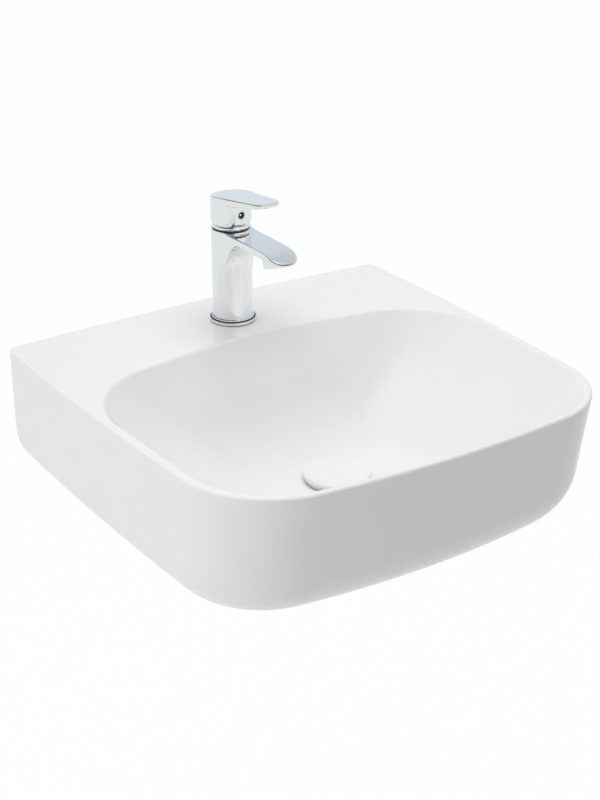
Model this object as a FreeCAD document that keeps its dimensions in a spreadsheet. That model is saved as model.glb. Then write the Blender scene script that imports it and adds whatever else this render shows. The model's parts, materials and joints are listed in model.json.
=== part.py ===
# Wall-hung washbasin with a single-lever mixer tap and a push-to-open waste, at real size in millimetres.
# The origin lies on the wall plane, midway between the two wall bolt holes. +Z is up, +Y points into the
# wall and +X is to the right of someone who stands at the basin.
import FreeCAD
import Part
import Sketcher
import math
import os
import re
from FreeCAD import Rotation, Vector

# Driving dimensions: cell alias, value, meaning. Lengths in mm, angles in degrees, shares without a unit.
SIZES = [
    # Ceramic basin
    ("basin_width", 470, "greatest width across the sides"),
    ("basin_depth", 465, "wall plane to the front of the rim"),
    ("basin_height", 150, "rim plane to the underside"),
    ("deck_crown", 4.4, "rise of the top's middle line above its sides"),
    ("front_curve_r", 950, "plan radius of the front"),
    ("side_curve_r", 4100, "plan radius of each side"),
    ("side_widest_y", 111, "distance of the widest place from the wall"),
    ("front_corner_r", 103, "plan radius of the front corners"),
    ("front_draft", 26, "how far the front leans back towards its foot"),
    ("bottom_round_r", 60, "rounding under the sides and front"),
    ("rear_corner_r", 5.2, "rounding of the upright edges at the wall"),
    ("edge_round_r", 3, "rounding of the outer top edge"),
    ("wall_thick", 11, "ceramic wall of skirt and bowl"),
    ("deck_thick", 16, "ceramic under the tap"),
    ("rear_thick", 14, "ceramic at the wall"),
    ("foot_land", 8, "flat foot inside the bottom rounding"),
    ("bolt_drop", 60, "rim plane to the wall bolts"),
    ("bolt_spacing", 280, "distance between the wall bolts"),
    ("bolt_hole_r", 7, "wall bolt hole"),
    ("pipe_gap_width", 190, "pipe opening in the rear wall"),
    ("pipe_gap_drop", 55, "rim plane to the top of the pipe opening"),
    ("pipe_gap_r", 22, "upper corners of the pipe opening"),
    # Bowl
    ("rim_width", 5.2, "rim between the outside and the bowl, level with the top of the deck"),
    ("bowl_rear_y", 120, "wall plane to the bowl's rear edge"),
    ("bowl_rear_curve_r", 950, "plan radius of the bowl's rear edge"),
    ("bowl_corner_r", 94, "plan radius of the bowl's rear corners"),
    ("bowl_depth", 104, "rim plane to the bowl's floor"),
    ("bowl_floor_thick", 12, "ceramic under the bowl's floor"),
    ("bowl_floor_share", 0.27, "flat floor as a share of the bowl's plan"),
    ("bowl_rise_power", 2, "exponent of the wall's rise from floor to rim: 1 is a cone"),
    ("bowl_over", 12, "height of the bowl's mouth above the rim plane"),
    ("lip_r", 3, "rounding of the bowl's lip at the sides and front"),
    ("lip_rear_r", 6, "rounding of the bowl's lip at the deck"),
    ("waste_y", 270, "wall plane to the waste"),
    ("waste_hole_r", 23, "waste hole"),
    # Tap
    ("tap_y", 69.2, "wall plane to the tap"),
    ("tap_hole_r", 17.5, "tap hole"),
    ("gasket_thick", 1, "foot gasket"),
    ("gasket_in_r", 16.5, "foot gasket, inner radius"),
    ("foot_ring_r", 25.2, "foot ring, outer radius"),
    ("foot_ring_height", 5.5, "foot ring, height"),
    ("foot_ring_bevel", 2.2, "bevel round the foot ring's top"),
    ("foot_flange_thick", 2, "flange of the foot ring under the tap"),
    ("foot_flange_in_r", 15.5, "opening in that flange"),
    ("column_r", 21.5, "tap column"),
    ("column_top", 104.8, "top of the tap column above the deck"),
    ("spout_reach", 90, "tap axis to the middle of the outlet's mouth"),
    ("spout_tip", 114.5, "tap axis to the spout's tip"),
    ("spout_half_width", 18, "half the spout's width"),
    ("spout_tip_r", 16.5, "plan radius of the tip"),
    ("spout_arch_z", 78, "height where the spout's underside meets the column's front"),
    ("spout_arch_end", 40, "tap axis to where the spout's underside turns level"),
    ("spout_under_z", 94.5, "height of the spout's underside near the outlet"),
    ("spout_nose_start", 80, "tap axis to where the spout's top bends down"),
    ("spout_nose_top", 97, "height of the spout's top at its tip"),
    ("spout_belly", 3.5, "how far the spout's underside bulges below its sides"),
    ("outlet_r", 13.6, "outlet boss"),
    ("outlet_z", 87, "height of the middle of the outlet's mouth"),
    ("outlet_tilt", 15, "degrees by which the outlet points to the front"),
    ("channel_r", 2.5, "water channel in the spout"),
    ("channel_root_z", 88, "height of the channel at the cartridge"),
    ("channel_tip_z", 98.6, "height of the channel at the outlet"),
    ("channel_bend", 36, "tap axis to the bend where the channel turns level"),
    ("inlet_x", 6.5, "half the distance between the inlets"),
    ("inlet_y", 4, "inlets in front of the tap axis"),
    ("inlet_thread_r", 4.46, "core radius of the M10 inlet threads"),
    ("inlet_thread_deep", 12, "depth of the inlet threads"),
    ("inlet_bore_r", 3, "inlet bores"),
    ("stud_y", 10, "fixing stud behind the tap axis"),
    ("stud_r", 4, "M8 fixing stud"),
    ("stud_deep", 16, "stud in the tap's foot"),
    ("stud_length", 92, "whole length of the stud"),
    ("clamp_r", 25, "horseshoe clamp"),
    ("clamp_slot", 28, "slot of the horseshoe"),
    ("clamp_slot_end", 1.5, "end of the slot behind the tap axis"),
    ("clamp_seal_thick", 3, "rubber horseshoe"),
    ("clamp_plate_thick", 2.5, "steel horseshoe"),
    ("clamp_nut_flats", 13, "M8 nut across flats"),
    ("clamp_nut_height", 13, "M8 long nut"),
    # Cartridge
    ("chamber_floor", 57.6, "floor of the cartridge chamber above the deck"),
    ("chamber_r", 17.6, "cartridge chamber"),
    ("cartridge_r", 17.5, "cartridge housing"),
    ("cartridge_wall", 2.3, "wall of the housing"),
    ("cartridge_height", 37.4, "height of the housing"),
    ("cartridge_lip_thick", 2.7, "lip that holds the rotor down"),
    ("cartridge_mouth_r", 11.2, "opening in that lip"),
    ("window_width", 10, "water window in the housing"),
    ("window_height", 6, "water window in the housing"),
    ("fit_gap", 0.1, "clearance round pieces that lie in a recess"),
    ("port_base_thick", 4, "base plate with the inlet ports"),
    ("port_seal_r", 5.4, "inlet seals, outer radius"),
    ("port_seal_thick", 2.3, "inlet seals"),
    ("port_seal_proud", 0.8, "seal standing out of the base plate"),
    ("disc_thick", 3, "each ceramic disc"),
    ("disc_port_r", 2.6, "ports in the fixed disc"),
    ("moving_disc_r", 11, "moving disc"),
    ("carrier_thick", 4.6, "carrier of the moving disc"),
    ("carrier_socket_r", 4.2, "socket for the stem's foot"),
    ("carrier_socket_deep", 3.5, "depth of that socket"),
    ("stem_foot_r", 3.5, "stem's foot"),
    ("stem_r", 4, "stem"),
    ("stem_square", 7.6, "square end in the handle"),
    ("stem_top", 131, "top of the stem above the deck"),
    ("pivot_z", 82, "lever pivot above the deck"),
    ("pivot_arm", 11.3, "pivot to the stem's foot"),
    ("pin_r", 2, "pivot pin"),
    ("pin_inset", 0.5, "pin's ends inside the housing"),
    ("rotor_gap", 0.6, "air between carrier and rotor"),
    ("rotor_slot", 18.4, "length of the rotor's slot"),
    ("running_gap", 0.05, "radial clearance of turning fits"),
    ("nut_height", 9, "ring nut on the cartridge"),
    ("nut_r", 18.55, "ring nut, outer radius"),
    ("nut_in_r", 14.6, "ring nut, inner radius"),
    ("neck_r", 20.6, "neck ring, outer radius"),
    ("neck_in_r", 17.4, "neck ring, inner radius"),
    ("neck_height", 5.6, "neck ring above the column"),
    ("neck_side", 2.6, "upright edge of the neck ring"),
    ("neck_top_r", 18.2, "flat top of the neck ring"),
    ("neck_round_r", 5, "rounding of the neck ring"),
    # Handle
    ("handle_bottom", 111.4, "foot of the handle above the deck"),
    ("handle_r", 21.6, "handle cup at the top"),
    ("handle_foot_r", 21.2, "handle cup at its foot"),
    ("handle_foot_height", 3.2, "height of the cup's tapered foot"),
    ("handle_wall", 1.9, "wall of the cup"),
    ("handle_cup_deep", 17, "depth of the cup"),
    ("handle_top", 141.5, "top of the handle on the tap axis"),
    ("lever_slope", 7.3, "rise of the lever towards its tip"),
    ("lever_tip", 82, "tap axis to the lever's tip"),
    ("lever_tip_r", 15.5, "plan radius of the lever's tip"),
    ("lever_root_thick", 8, "lever at the cup"),
    ("lever_tip_thick", 4.2, "lever at the tip"),
    ("boss_r", 8, "boss round the stem"),
    ("boss_bottom", 116.5, "foot of the boss above the deck"),
    ("screw_z", 123.2, "grub screw above the deck"),
    ("screw_r", 2.5, "M5 grub screw"),
    ("screw_length", 6, "grub screw"),
    ("screw_socket_r", 1.3, "socket in the grub screw"),
    ("plug_r", 4.2, "cover plug"),
    ("plug_thick", 3.2, "cover plug"),
    ("plug_dish_r", 2.4, "dish in the plug's face"),
    # Aerator
    ("aerator_r", 12, "aerator housing"),
    ("aerator_in_r", 10.3, "aerator housing, inside"),
    ("aerator_height", 6, "aerator housing"),
    ("aerator_lip", 1.3, "inward lip at the aerator's mouth"),
    ("aerator_insert_thick", 4.2, "jet insert"),
    ("aerator_jet_r", 0.9, "each jet"),
    ("aerator_jet_pitch", 3, "distance between the rings of jets"),
    ("aerator_seal_thick", 1.5, "aerator seal"),
    ("thread_gap", 0.05, "radial clearance at threads"),
    # Waste
    ("flange_r", 31.5, "waste flange"),
    ("flange_thick", 2, "waste flange"),
    ("flange_seal_thick", 1.5, "seal under the flange"),
    ("throat_r", 20, "mouth of the waste"),
    ("throat_deep", 4, "bowl floor to the foot of the waste's seat"),
    ("tail_r", 20.95, "G1 1/4 tail, outer radius"),
    ("tail_in_r", 17.6, "tail, inner radius"),
    ("tail_length", 95, "bowl floor to the tail's end"),
    ("tail_free", 48, "free thread at the tail's end"),
    ("tail_relief", 2, "relief groove above the free thread"),
    ("tail_relief_deep", 0.8, "depth of that groove"),
    ("taper_washer_r", 32, "rubber washer under the basin"),
    ("taper_washer_thick", 8, "rubber washer under the basin"),
    ("slip_washer_r", 29.5, "plastic slip washer"),
    ("slip_washer_thick", 1.5, "plastic slip washer"),
    ("waste_nut_flats", 54, "waste nut across flats"),
    ("waste_nut_height", 10, "waste nut"),
    ("bridge_z", 46, "bowl floor to the foot of the bridge"),
    ("bridge_thick", 4, "bridge across the tail"),
    ("bridge_width", 5, "each bar of the bridge"),
    ("hub_r", 8.5, "hub of the bridge"),
    ("spigot_r", 6, "click barrel in the hub"),
    ("barrel_r", 6.6, "click barrel"),
    ("barrel_in_r", 5, "click barrel, inside"),
    ("barrel_collar_r", 7.6, "collar that stands on the hub"),
    ("barrel_collar_thick", 2, "that collar"),
    ("barrel_floor", 2, "floor of the click barrel"),
    ("barrel_top", 6, "bowl floor to the barrel's top"),
    ("plunger_r", 2.9, "plunger rod"),
    ("plunger_collar_z", 20, "bowl floor to the foot of that collar"),
    ("plunger_collar_thick", 3, "plunger collar"),
    ("plunger_foot", 38, "bowl floor to the rod's foot"),
    ("spring_r", 4, "spring, mean radius"),
    ("spring_wire_r", 0.55, "spring wire"),
    ("spring_turns", 7, "turns of the spring"),
    ("plug_seal_r", 25.5, "plug seal, outer radius"),
    ("plug_seal_in_r", 22.6, "plug seal, inner radius"),
    ("plug_seal_thick", 1.5, "plug seal"),
    ("holder_r", 27, "metal holder under the cap"),
    ("holder_thick", 2, "metal holder"),
    ("holder_hub_r", 5.5, "hub of the holder"),
    ("cap_r", 35, "ceramic cap"),
    ("cap_gap", 1.2, "gap under the cap's skirt"),
    ("cap_skirt", 2.6, "skirt of the cap"),
    ("cap_edge_height", 5.4, "cap's upright edge above the bowl floor"),
    ("cap_shoulder_r", 31.4, "radius where the cap's crown starts"),
    ("cap_shoulder_z", 9.2, "height there above the bowl floor"),
    ("cap_round_r", 4, "rounding of the cap's edge"),
    ("cap_height", 11.6, "cap's crown above the bowl floor"),
]

doc = FreeCAD.newDocument("washbasin")
sheet = doc.addObject("Spreadsheet::Sheet", "sizes")
for row, (alias, number, meaning) in enumerate(SIZES, start=1):
    sheet.set(f"A{row}", meaning)
    sheet.set(f"B{row}", str(number))
    sheet.setAlias(f"B{row}", alias)
doc.recompute()

NAMES = {alias for alias, number, meaning in SIZES}
pieces = []


def bound(text):
    """An expression on the sheet's cells, from text that uses the bare aliases."""
    return re.sub(r"[A-Za-z_]\w*", lambda m: "sizes." + m[0] if m[0] in NAMES else m[0], str(text))


def value(text):
    """The present number of such an expression."""
    return float(sheet.evalExpression(bound(text)))


def keep(thing, label):
    """Marks a document object as a finished sub-part; its label names its file."""
    thing.Label = label
    pieces.append(thing)
    return thing


def place(thing, x="0", y="0", z="0"):
    """Binds an object's position to the sheet."""
    for axis, text in (("x", x), ("y", y), ("z", z)):
        thing.setExpression(f"Placement.Base.{axis}", bound(text))
    return thing


# Heights on the tap are given above the deck, and heights on the waste above the bowl's floor.
DECK_Z = "bolt_drop + deck_crown"
TAP_Y = "-tap_y"
FLOOR_Z = "bolt_drop - bowl_depth"
WASTE_Y = "-waste_y"


def on_tap(height, x="0", back="0"):
    """Position on the tap: height above the deck, and x and distance behind the tap axis."""
    return {"x": x, "y": f"{TAP_Y} + {back}", "z": f"{DECK_Z} + {height}"}


def on_waste(height):
    """Position on the waste axis at a height above the bowl's floor."""
    return {"x": "0", "y": WASTE_Y, "z": f"{FLOOR_Z} + {height}"}


def cylinder(name, radius, height, **position):
    thing = doc.addObject("Part::Cylinder", name)
    thing.setExpression("Radius", bound(radius))
    thing.setExpression("Height", bound(height))
    return place(thing, **position)


def box(name, length, width, height, **position):
    """A box centred on its position in X and Y that stands on it in Z."""
    thing = doc.addObject("Part::Box", name)
    thing.setExpression("Length", bound(length))
    thing.setExpression("Width", bound(width))
    thing.setExpression("Height", bound(height))
    centred = dict(position)
    centred["x"] = f"{position.get('x', '0')} - ({length}) / 2"
    centred["y"] = f"{position.get('y', '0')} - ({width}) / 2"
    return place(thing, **centred)


def to_front(thing):
    """Turns an object's own Z axis to the front."""
    thing.Placement.Rotation = Rotation(Vector(1, 0, 0), 90)
    return thing


def hexagon(name, flats, height, **position):
    thing = doc.addObject("Part::Prism", name)
    thing.Polygon = 6
    thing.setExpression("Circumradius", bound(f"({flats}) / 2 / cos(30 deg)"))
    thing.setExpression("Height", bound(height))
    return place(thing, **position)


def fused(name, *shapes):
    thing = doc.addObject("Part::MultiFuse", name)
    thing.Shapes = list(shapes)
    thing.Refine = True
    return thing


def cut(name, base, *tools):
    """base with every tool taken away."""
    thing = doc.addObject("Part::Cut", name)
    thing.Base = base
    thing.Tool = tools[0] if len(tools) == 1 else fused(name + "_tools", *tools)
    return thing


def turned(name, section, **position):
    """A body turned about its own Z axis. section lists (radius, height) round the half section, in
    expressions that are never negative; a third entry is the radius of a convex arc that leads
    to that point."""
    body = doc.addObject("PartDesign::Body", name)
    sketch = body.newObject("Sketcher::SketchObject", name + "_section")
    plane = next(f for f in body.Origin.OriginFeatures if f.Role == "XZ_Plane")
    sketch.AttachmentSupport = (plane, [""])
    sketch.MapMode = "FlatFace"
    corners = [Vector(value(point[0]), value(point[1]), 0) for point in section]
    for index, end in enumerate(corners):
        start = corners[index - 1]
        if len(section[index]) == 2:
            sketch.addGeometry(Part.LineSegment(start, end), False)
        else:
            sketch.addGeometry(convex_arc(start, end, value(section[index][2])), False)
    vertex_of = [1 if len(point) == 2 or arc_runs_forward(sketch, index, corners) else 2
                 for index, point in enumerate(section)]
    for index, point in enumerate(section):
        first = vertex_of[index]
        last = 3 - first
        after = (index + 1) % len(section)
        sketch.addConstraint(Sketcher.Constraint("Coincident", index, last, after, vertex_of[after]))
        pin(sketch, index, last, "DistanceX", -2, point[0])
        pin(sketch, index, last, "DistanceY", -1, point[1])
        if len(point) == 3:
            number = sketch.addConstraint(Sketcher.Constraint("Radius", index, value(point[2])))
            sketch.setExpression(f"Constraints[{number}]", bound(point[2]))
    turn = body.newObject("PartDesign::Revolution", name + "_turn")
    turn.Profile = sketch
    turn.ReferenceAxis = (sketch, ["V_Axis"])
    turn.Angle = 360
    return place(body, **position)


def pin(sketch, index, vertex, kind, axis, text):
    """Holds one coordinate of a sketch vertex to an expression, or to the axis where it is nothing."""
    if value(text) == 0:
        sketch.addConstraint(Sketcher.Constraint("PointOnObject", index, vertex, axis))
    else:
        number = sketch.addConstraint(Sketcher.Constraint(kind, -1, 1, index, vertex, value(text)))
        sketch.setExpression(f"Constraints[{number}]", bound(text))


def convex_arc(start, end, radius):
    """The arc of that radius from start to end that bulges away from the axis and upwards."""
    chord = end - start
    across = Vector(-chord.y, chord.x, 0)
    across.normalize()
    if across.y + across.x < 0:
        across = across * -1
    half = chord.Length / 2
    rise = radius - math.sqrt(radius * radius - half * half)
    return Part.Arc(start, start + chord * 0.5 + across * rise, end)


def arc_runs_forward(sketch, index, corners):
    """True if an arc's own start is the corner before it."""
    start = sketch.getPoint(index, 1)
    return start.distanceToPoint(corners[index - 1]) < start.distanceToPoint(corners[index])


# Plan outlines are lists of arcs (centre, radius, from angle, to angle), anticlockwise seen from above.
MIRROR_TURN = 3 * math.pi
SECTION_COUNT = 9
ROUND_STEPS = 6
# Edges count as lying on a plane within NEAR, and cuts run past a face by OVERRUN.
NEAR = 1
OVERRUN = 1


def heading(start, end):
    """Direction from start to end, from nothing to a whole turn."""
    return math.atan2(end.y - start.y, end.x - start.x) % (2 * math.pi)


def touching(first, first_r, second, second_r, radius, near):
    """Centre of the circle of that radius that touches two circles from inside, on the side of near."""
    span = second - first
    apart = span.Length
    along = ((first_r - radius) ** 2 - (second_r - radius) ** 2 + apart ** 2) / (2 * apart)
    aside = math.sqrt((first_r - radius) ** 2 - along ** 2)
    foot = first + span * (along / apart)
    offset = Vector(-span.y, span.x, 0) * (aside / apart)
    return min((foot + offset, foot - offset), key=lambda centre: centre.distanceToPoint(near))


def mirrored(arcs):
    """The same arcs on the right-hand side, in the order in which an outline meets them."""
    return [(Vector(-centre.x, centre.y, 0), radius, MIRROR_TURN - end, MIRROR_TURN - start)
            for centre, radius, start, end in reversed(arcs)]


def left_front(set_back, inset):
    """Centres and radii of the left side, the left front corner and the front, drawn in by inset."""
    side = Vector(value("side_curve_r - basin_width / 2"), -value("side_widest_y"), 0)
    front = Vector(0, value("front_curve_r - basin_depth") + set_back, 0)
    side_r = value("side_curve_r") - inset
    front_r = value("front_curve_r") - inset
    corner_r = value("front_corner_r") - inset
    near = Vector(-value("basin_width"), -value("basin_depth"), 0)
    corner = touching(side, side_r, front, front_r, corner_r, near)
    return side, side_r, corner, corner_r, front, front_r


def outer_wire(z, set_back, inset, rear_y):
    """The basin's outline at height z, closed by a straight line along the wall."""
    side, side_r, corner, corner_r, front, front_r = left_front(set_back, inset)
    rear_turn = math.pi - math.asin((rear_y - side.y) / side_r)
    side_end = heading(side, corner)
    corner_end = heading(front, corner)
    left = [(side, side_r, rear_turn, side_end), (corner, corner_r, side_end, corner_end)]
    arcs = left + [(front, front_r, corner_end, MIRROR_TURN - corner_end)] + mirrored(left)
    edges = arc_edges(arcs, z)
    wall = Part.LineSegment(edges[-1].lastVertex().Point, edges[0].firstVertex().Point).toShape()
    return Part.Wire(edges + [wall])


def bowl_arcs():
    """The bowl's outline level with the top of the deck, inside the rim."""
    side, side_r, corner, corner_r, front, front_r = left_front(0, value("rim_width"))
    rear_r = value("bowl_rear_curve_r")
    rear = Vector(0, -value("bowl_rear_y") - rear_r, 0)
    turn_r = value("bowl_corner_r")
    turn = touching(side, side_r, rear, rear_r, turn_r, Vector(-value("basin_width"), 0, 0))
    rear_end = heading(rear, turn)
    side_start = heading(side, turn)
    side_end = heading(side, corner)
    corner_end = heading(front, corner)
    left = [
        (turn, turn_r, rear_end, side_start),
        (side, side_r, side_start, side_end),
        (corner, corner_r, side_end, corner_end),
    ]
    ahead = (front, front_r, corner_end, MIRROR_TURN - corner_end)
    behind = (rear, rear_r, MIRROR_TURN - rear_end, 2 * math.pi + rear_end)
    return left + [ahead] + mirrored(left) + [behind]


def arc_edges(arcs, z):
    """The arcs as edges at height z."""
    edges = []
    for centre, radius, start, end in arcs:
        angles = (start, (start + end) / 2, end)
        points = [Vector(centre.x + radius * math.cos(angle), centre.y + radius * math.sin(angle), z)
                  for angle in angles]
        edges.append(Part.Arc(*points).toShape())
    return edges


def bowl_solid(grow, sink):
    """The bowl as a solid: its outline shrinks towards the waste as it goes down, ever more gently to its floor.
    grow moves the whole surface outwards and sink lowers its floor, which gives the bowl's outside."""
    about = Vector(0, -value("waste_y"), 0)
    power = value("bowl_rise_power")
    floor_share = value("bowl_floor_share")
    drop = value("bowl_depth + bowl_over")
    mouth_reach = (drop / value("bowl_depth + deck_crown")) ** (1 / power)
    wires = []
    for step in range(SECTION_COUNT):
        reach = 1 - step / (SECTION_COUNT - 1)
        share = floor_share + (1 - floor_share) * mouth_reach * reach
        z = value("bolt_drop + bowl_over") - (drop + sink) * (1 - reach ** power)
        arcs = [(about + (centre - about) * share, radius * share + grow, start, end)
                for centre, radius, start, end in bowl_arcs()]
        wires.append(Part.Wire(arc_edges(arcs, z)))
    return Part.makeLoft(wires, True, False)


def skirt_solid(inset, rear_y, bottom_z, top_z, round_r):
    """The basin's outer block, or its hollow if drawn in: leaning back at the front and rounded below."""
    rim_z = value("bolt_drop")
    lean = value("front_draft / basin_height")

    def section(z, drawn_in):
        return outer_wire(z, lean * (rim_z - z), inset + drawn_in, rear_y + value("rear_thick"))

    turns = [math.pi / 2 * step / ROUND_STEPS for step in range(ROUND_STEPS + 1)]
    rounding = [section(bottom_z + round_r * (1 - math.sin(turn)), round_r * (1 - math.cos(turn)))
                for turn in turns]
    wall = Part.makeLoft([section(top_z, 0), rounding[0]], True, True)
    skirt = wall.fuse(Part.makeLoft(rounding, True, False)).removeSplitter()
    width = value("basin_width")
    behind = Vector(-width, rear_y, bottom_z - OVERRUN)
    return skirt.cut(Part.makeBox(width * 2, width, top_z - bottom_z + OVERRUN * 2, behind))


def crowned(shape):
    """shape below the crowned top, which is an arc across the basin carried straight to the front."""
    half = value("basin_width / 2")
    crown = value("deck_crown")
    rim_z = value("bolt_drop")
    radius = (half ** 2 + crown ** 2) / (2 * crown)
    behind = Vector(0, value("basin_depth / 2"), rim_z + crown - radius)
    top = Part.makeCylinder(radius, value("basin_depth * 2"), behind, Vector(0, -1, 0))
    return shape.common(top)


def top_edges(shape, outer):
    """Edges of the deck's face: its outer border, or the bowl's lip."""
    spot = Part.Vertex(Vector(0, -value("rear_corner_r"), value("bolt_drop + deck_crown")))
    deck = min(shape.Faces, key=lambda face: face.distToShape(spot)[0])
    border = deck.OuterWire.hashCode()
    return [edge for wire in deck.Wires if (wire.hashCode() == border) == outer for edge in wire.Edges]


def basin_block():
    """The basin as a full block: leaning front, rounded foot, crowned top and the bowl sunk into it."""
    foot_z = value("bolt_drop - basin_height")
    block = crowned(skirt_solid(0, 0, foot_z, value(DECK_Z + " + bowl_over"), value("bottom_round_r")))
    upright = [edge for edge in block.Edges
               if abs(edge.CenterOfMass.y) < NEAR and abs(edge.CenterOfMass.x) > value("basin_width / 4")
               and edge.BoundBox.ZLength > value("edge_round_r")]
    block = block.makeFillet(value("rear_corner_r"), upright)
    block = block.makeFillet(value("edge_round_r"), top_edges(block, True))
    return block.cut(bowl_solid(0, 0))


def lip_radii(block):
    """Rounding of the bowl's lip, edge by edge, as (number, start, end): wide at the deck."""
    small = value("lip_r")
    large = value("lip_rear_r")
    deck_end = max(edge.CenterOfMass.y for edge in top_edges(block, False)) - NEAR
    halfway = (deck_end - value("waste_y")) / 2
    rows = []
    for edge in top_edges(block, False):
        number = next(n for n, other in enumerate(block.Edges, start=1) if other.isSame(edge))
        ends = [edge.firstVertex().Point.y, edge.lastVertex().Point.y]
        if edge.CenterOfMass.y > deck_end:
            rows.append((number, large, large))
        elif edge.CenterOfMass.y > halfway:
            rows.append((number, large, small) if ends[0] > ends[1] else (number, small, large))
        else:
            rows.append((number, small, small))
    return rows


def basin_hollow():
    """The space under the deck and round the bowl, open at the bottom."""
    foot_z = value("bolt_drop - basin_height")
    wall = value("wall_thick")
    rear = -value("rear_thick")
    roof_z = value(DECK_Z + " - deck_thick")
    space = skirt_solid(wall, rear, foot_z + wall, roof_z, value("bottom_round_r") - wall)
    land = value("bottom_round_r + foot_land")
    mouth = Part.Face(outer_wire(foot_z - wall, value("front_draft"), land, rear))
    mouth = mouth.extrude(Vector(0, 0, wall * 3))
    return space.fuse(mouth).cut(bowl_solid(wall, value("bowl_floor_thick")))


def pipe_gap():
    """The opening for pipes in the rear wall, with rounded upper corners."""
    foot_z = value("bolt_drop - basin_height")
    width = value("pipe_gap_width")
    deep = value("rear_thick")
    tall = value("basin_height - pipe_gap_drop") + deep
    gap = Part.makeBox(width, deep * 2, tall, Vector(-width / 2, -deep * 3 / 2, foot_z - deep))
    upper = [edge for edge in gap.Edges if edge.BoundBox.YLength > deep and edge.CenterOfMass.z > foot_z]
    return gap.makeFillet(value("pipe_gap_r"), upper)


def formed(name, shape, **position):
    """A free-form piece as an object of the document."""
    thing = doc.addObject("Part::Feature", name)
    thing.Shape = shape
    return place(thing, **position)


# Basin: one glazed casting of bowl, deck, skirt and rear wall
block = formed("BasinBlock", basin_block())
lip = doc.addObject("Part::Fillet", "BasinLip")
lip.Base = block
lip.Edges = lip_radii(block.Shape)
holes = [
    cylinder("TapHole", "tap_hole_r", "deck_thick * 3", **on_tap("-deck_thick * 2")),
    cylinder("WasteHole", "waste_hole_r", "bowl_floor_thick * 3", **on_waste("-bowl_floor_thick * 2")),
]
for side, sign in (("Left", "-"), ("Right", "")):
    across = f"{sign} bolt_spacing / 2"
    hole = cylinder(f"BoltHole{side}", "bolt_hole_r", "rear_thick * 3", x=across, y="rear_thick")
    holes.append(to_front(hole))
hollow = formed("BasinHollow", basin_hollow())
keep(cut("Basin", lip, hollow, formed("PipeGap", pipe_gap()), *holes), "basin")


def ring(name, inner, outer, height, **position):
    """A plain turned ring."""
    return turned(name, [(inner, "0"), (outer, "0"), (outer, height), (inner, height)], **position)


def along_x(name, radius, length, x="0", y="0", z="0"):
    """A round bar along X, centred on its position."""
    thing = cylinder(name, radius, length, x=f"{x} - ({length}) / 2", y=y, z=z)
    thing.Placement.Rotation = Rotation(Vector(0, 1, 0), 90)
    return thing


# Tap foot and its clamp under the deck
FOOT_Z = "gasket_thick + foot_flange_thick"
keep(ring("TapGasket", "gasket_in_r", "foot_ring_r - foot_ring_bevel", "gasket_thick", **on_tap("0")),
     "tap_gasket")

keep(turned("TapFootRing", [
    ("foot_flange_in_r", "0"),
    ("foot_ring_r", "0"),
    ("foot_ring_r", "foot_ring_height - foot_ring_bevel"),
    ("foot_ring_r - foot_ring_bevel", "foot_ring_height"),
    ("column_r + fit_gap", "foot_ring_height"),
    ("column_r + fit_gap", "foot_flange_thick"),
    ("foot_flange_in_r", "foot_flange_thick"),
], **on_tap("gasket_thick")), "tap_foot_ring")

keep(cylinder("TapStud", "stud_r", "stud_length",
              **on_tap(f"{FOOT_Z} + stud_deep - stud_length", back="stud_y")), "tap_stud")


def horseshoe(name, thick, height):
    """A round plate with a slot open to the front for the inlets and a hole for the stud."""
    plate = cylinder(name + "Plate", "clamp_r", thick, **on_tap(height))
    slot = box(name + "Slot", "clamp_slot", "clamp_r * 2", thick,
               **on_tap(height, back="clamp_slot_end - clamp_r"))
    hole = cylinder(name + "Hole", "stud_r + fit_gap", thick, **on_tap(height, back="stud_y"))
    return cut(name, plate, slot, hole)


SEAL_FOOT = "-deck_thick - clamp_seal_thick"
PLATE_FOOT = f"{SEAL_FOOT} - clamp_plate_thick"
NUT_FOOT = f"{PLATE_FOOT} - clamp_nut_height"
keep(horseshoe("ClampSeal", "clamp_seal_thick", SEAL_FOOT), "clamp_seal")
keep(horseshoe("ClampPlate", "clamp_plate_thick", PLATE_FOOT), "clamp_plate")
nut_spot = on_tap(NUT_FOOT, back="stud_y")
keep(cut("ClampNut",
         hexagon("ClampNutBlank", "clamp_nut_flats", "clamp_nut_height", **nut_spot),
         cylinder("ClampNutThread", "stud_r + thread_gap", "clamp_nut_height", **nut_spot)),
     "clamp_nut")


# Tap body: in its own frame, z is the height above the deck and the spout points to -Y.
ARCH_STEPS = 4


def spout_underside(reach):
    """Height of the spout's underside: an arch that rises from the column, then level."""
    end = value("spout_arch_end")
    left = max((end - reach) / (end - value("column_r")), 0)
    return value("spout_under_z") - value("spout_under_z - spout_arch_z") * left ** 2


def spout_top(reach):
    """Height of the spout's top: level, then bent down towards the tip."""
    start = value("spout_nose_start")
    bend = max((reach - start) / (value("spout_tip") - start), 0)
    return value("column_top") - value("column_top - spout_nose_top") * bend ** 2


def spout_section(reach):
    """Section across the spout: flat top, upright sides, rounded underside."""
    half = value("spout_half_width")
    top = spout_top(reach)
    under = spout_underside(reach)
    side = min(under + value("spout_belly"), (under + top) / 2)
    corners = [Vector(-half, -reach, top), Vector(half, -reach, top),
               Vector(half, -reach, side), Vector(-half, -reach, side)]
    belly = Part.Arc(corners[2], Vector(0, -reach, under), corners[3]).toShape()
    lines = [Part.LineSegment(corners[a], corners[b]).toShape() for a, b in ((0, 1), (1, 2), (3, 0))]
    return Part.Wire([lines[0], lines[1], belly, lines[2]])


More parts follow.
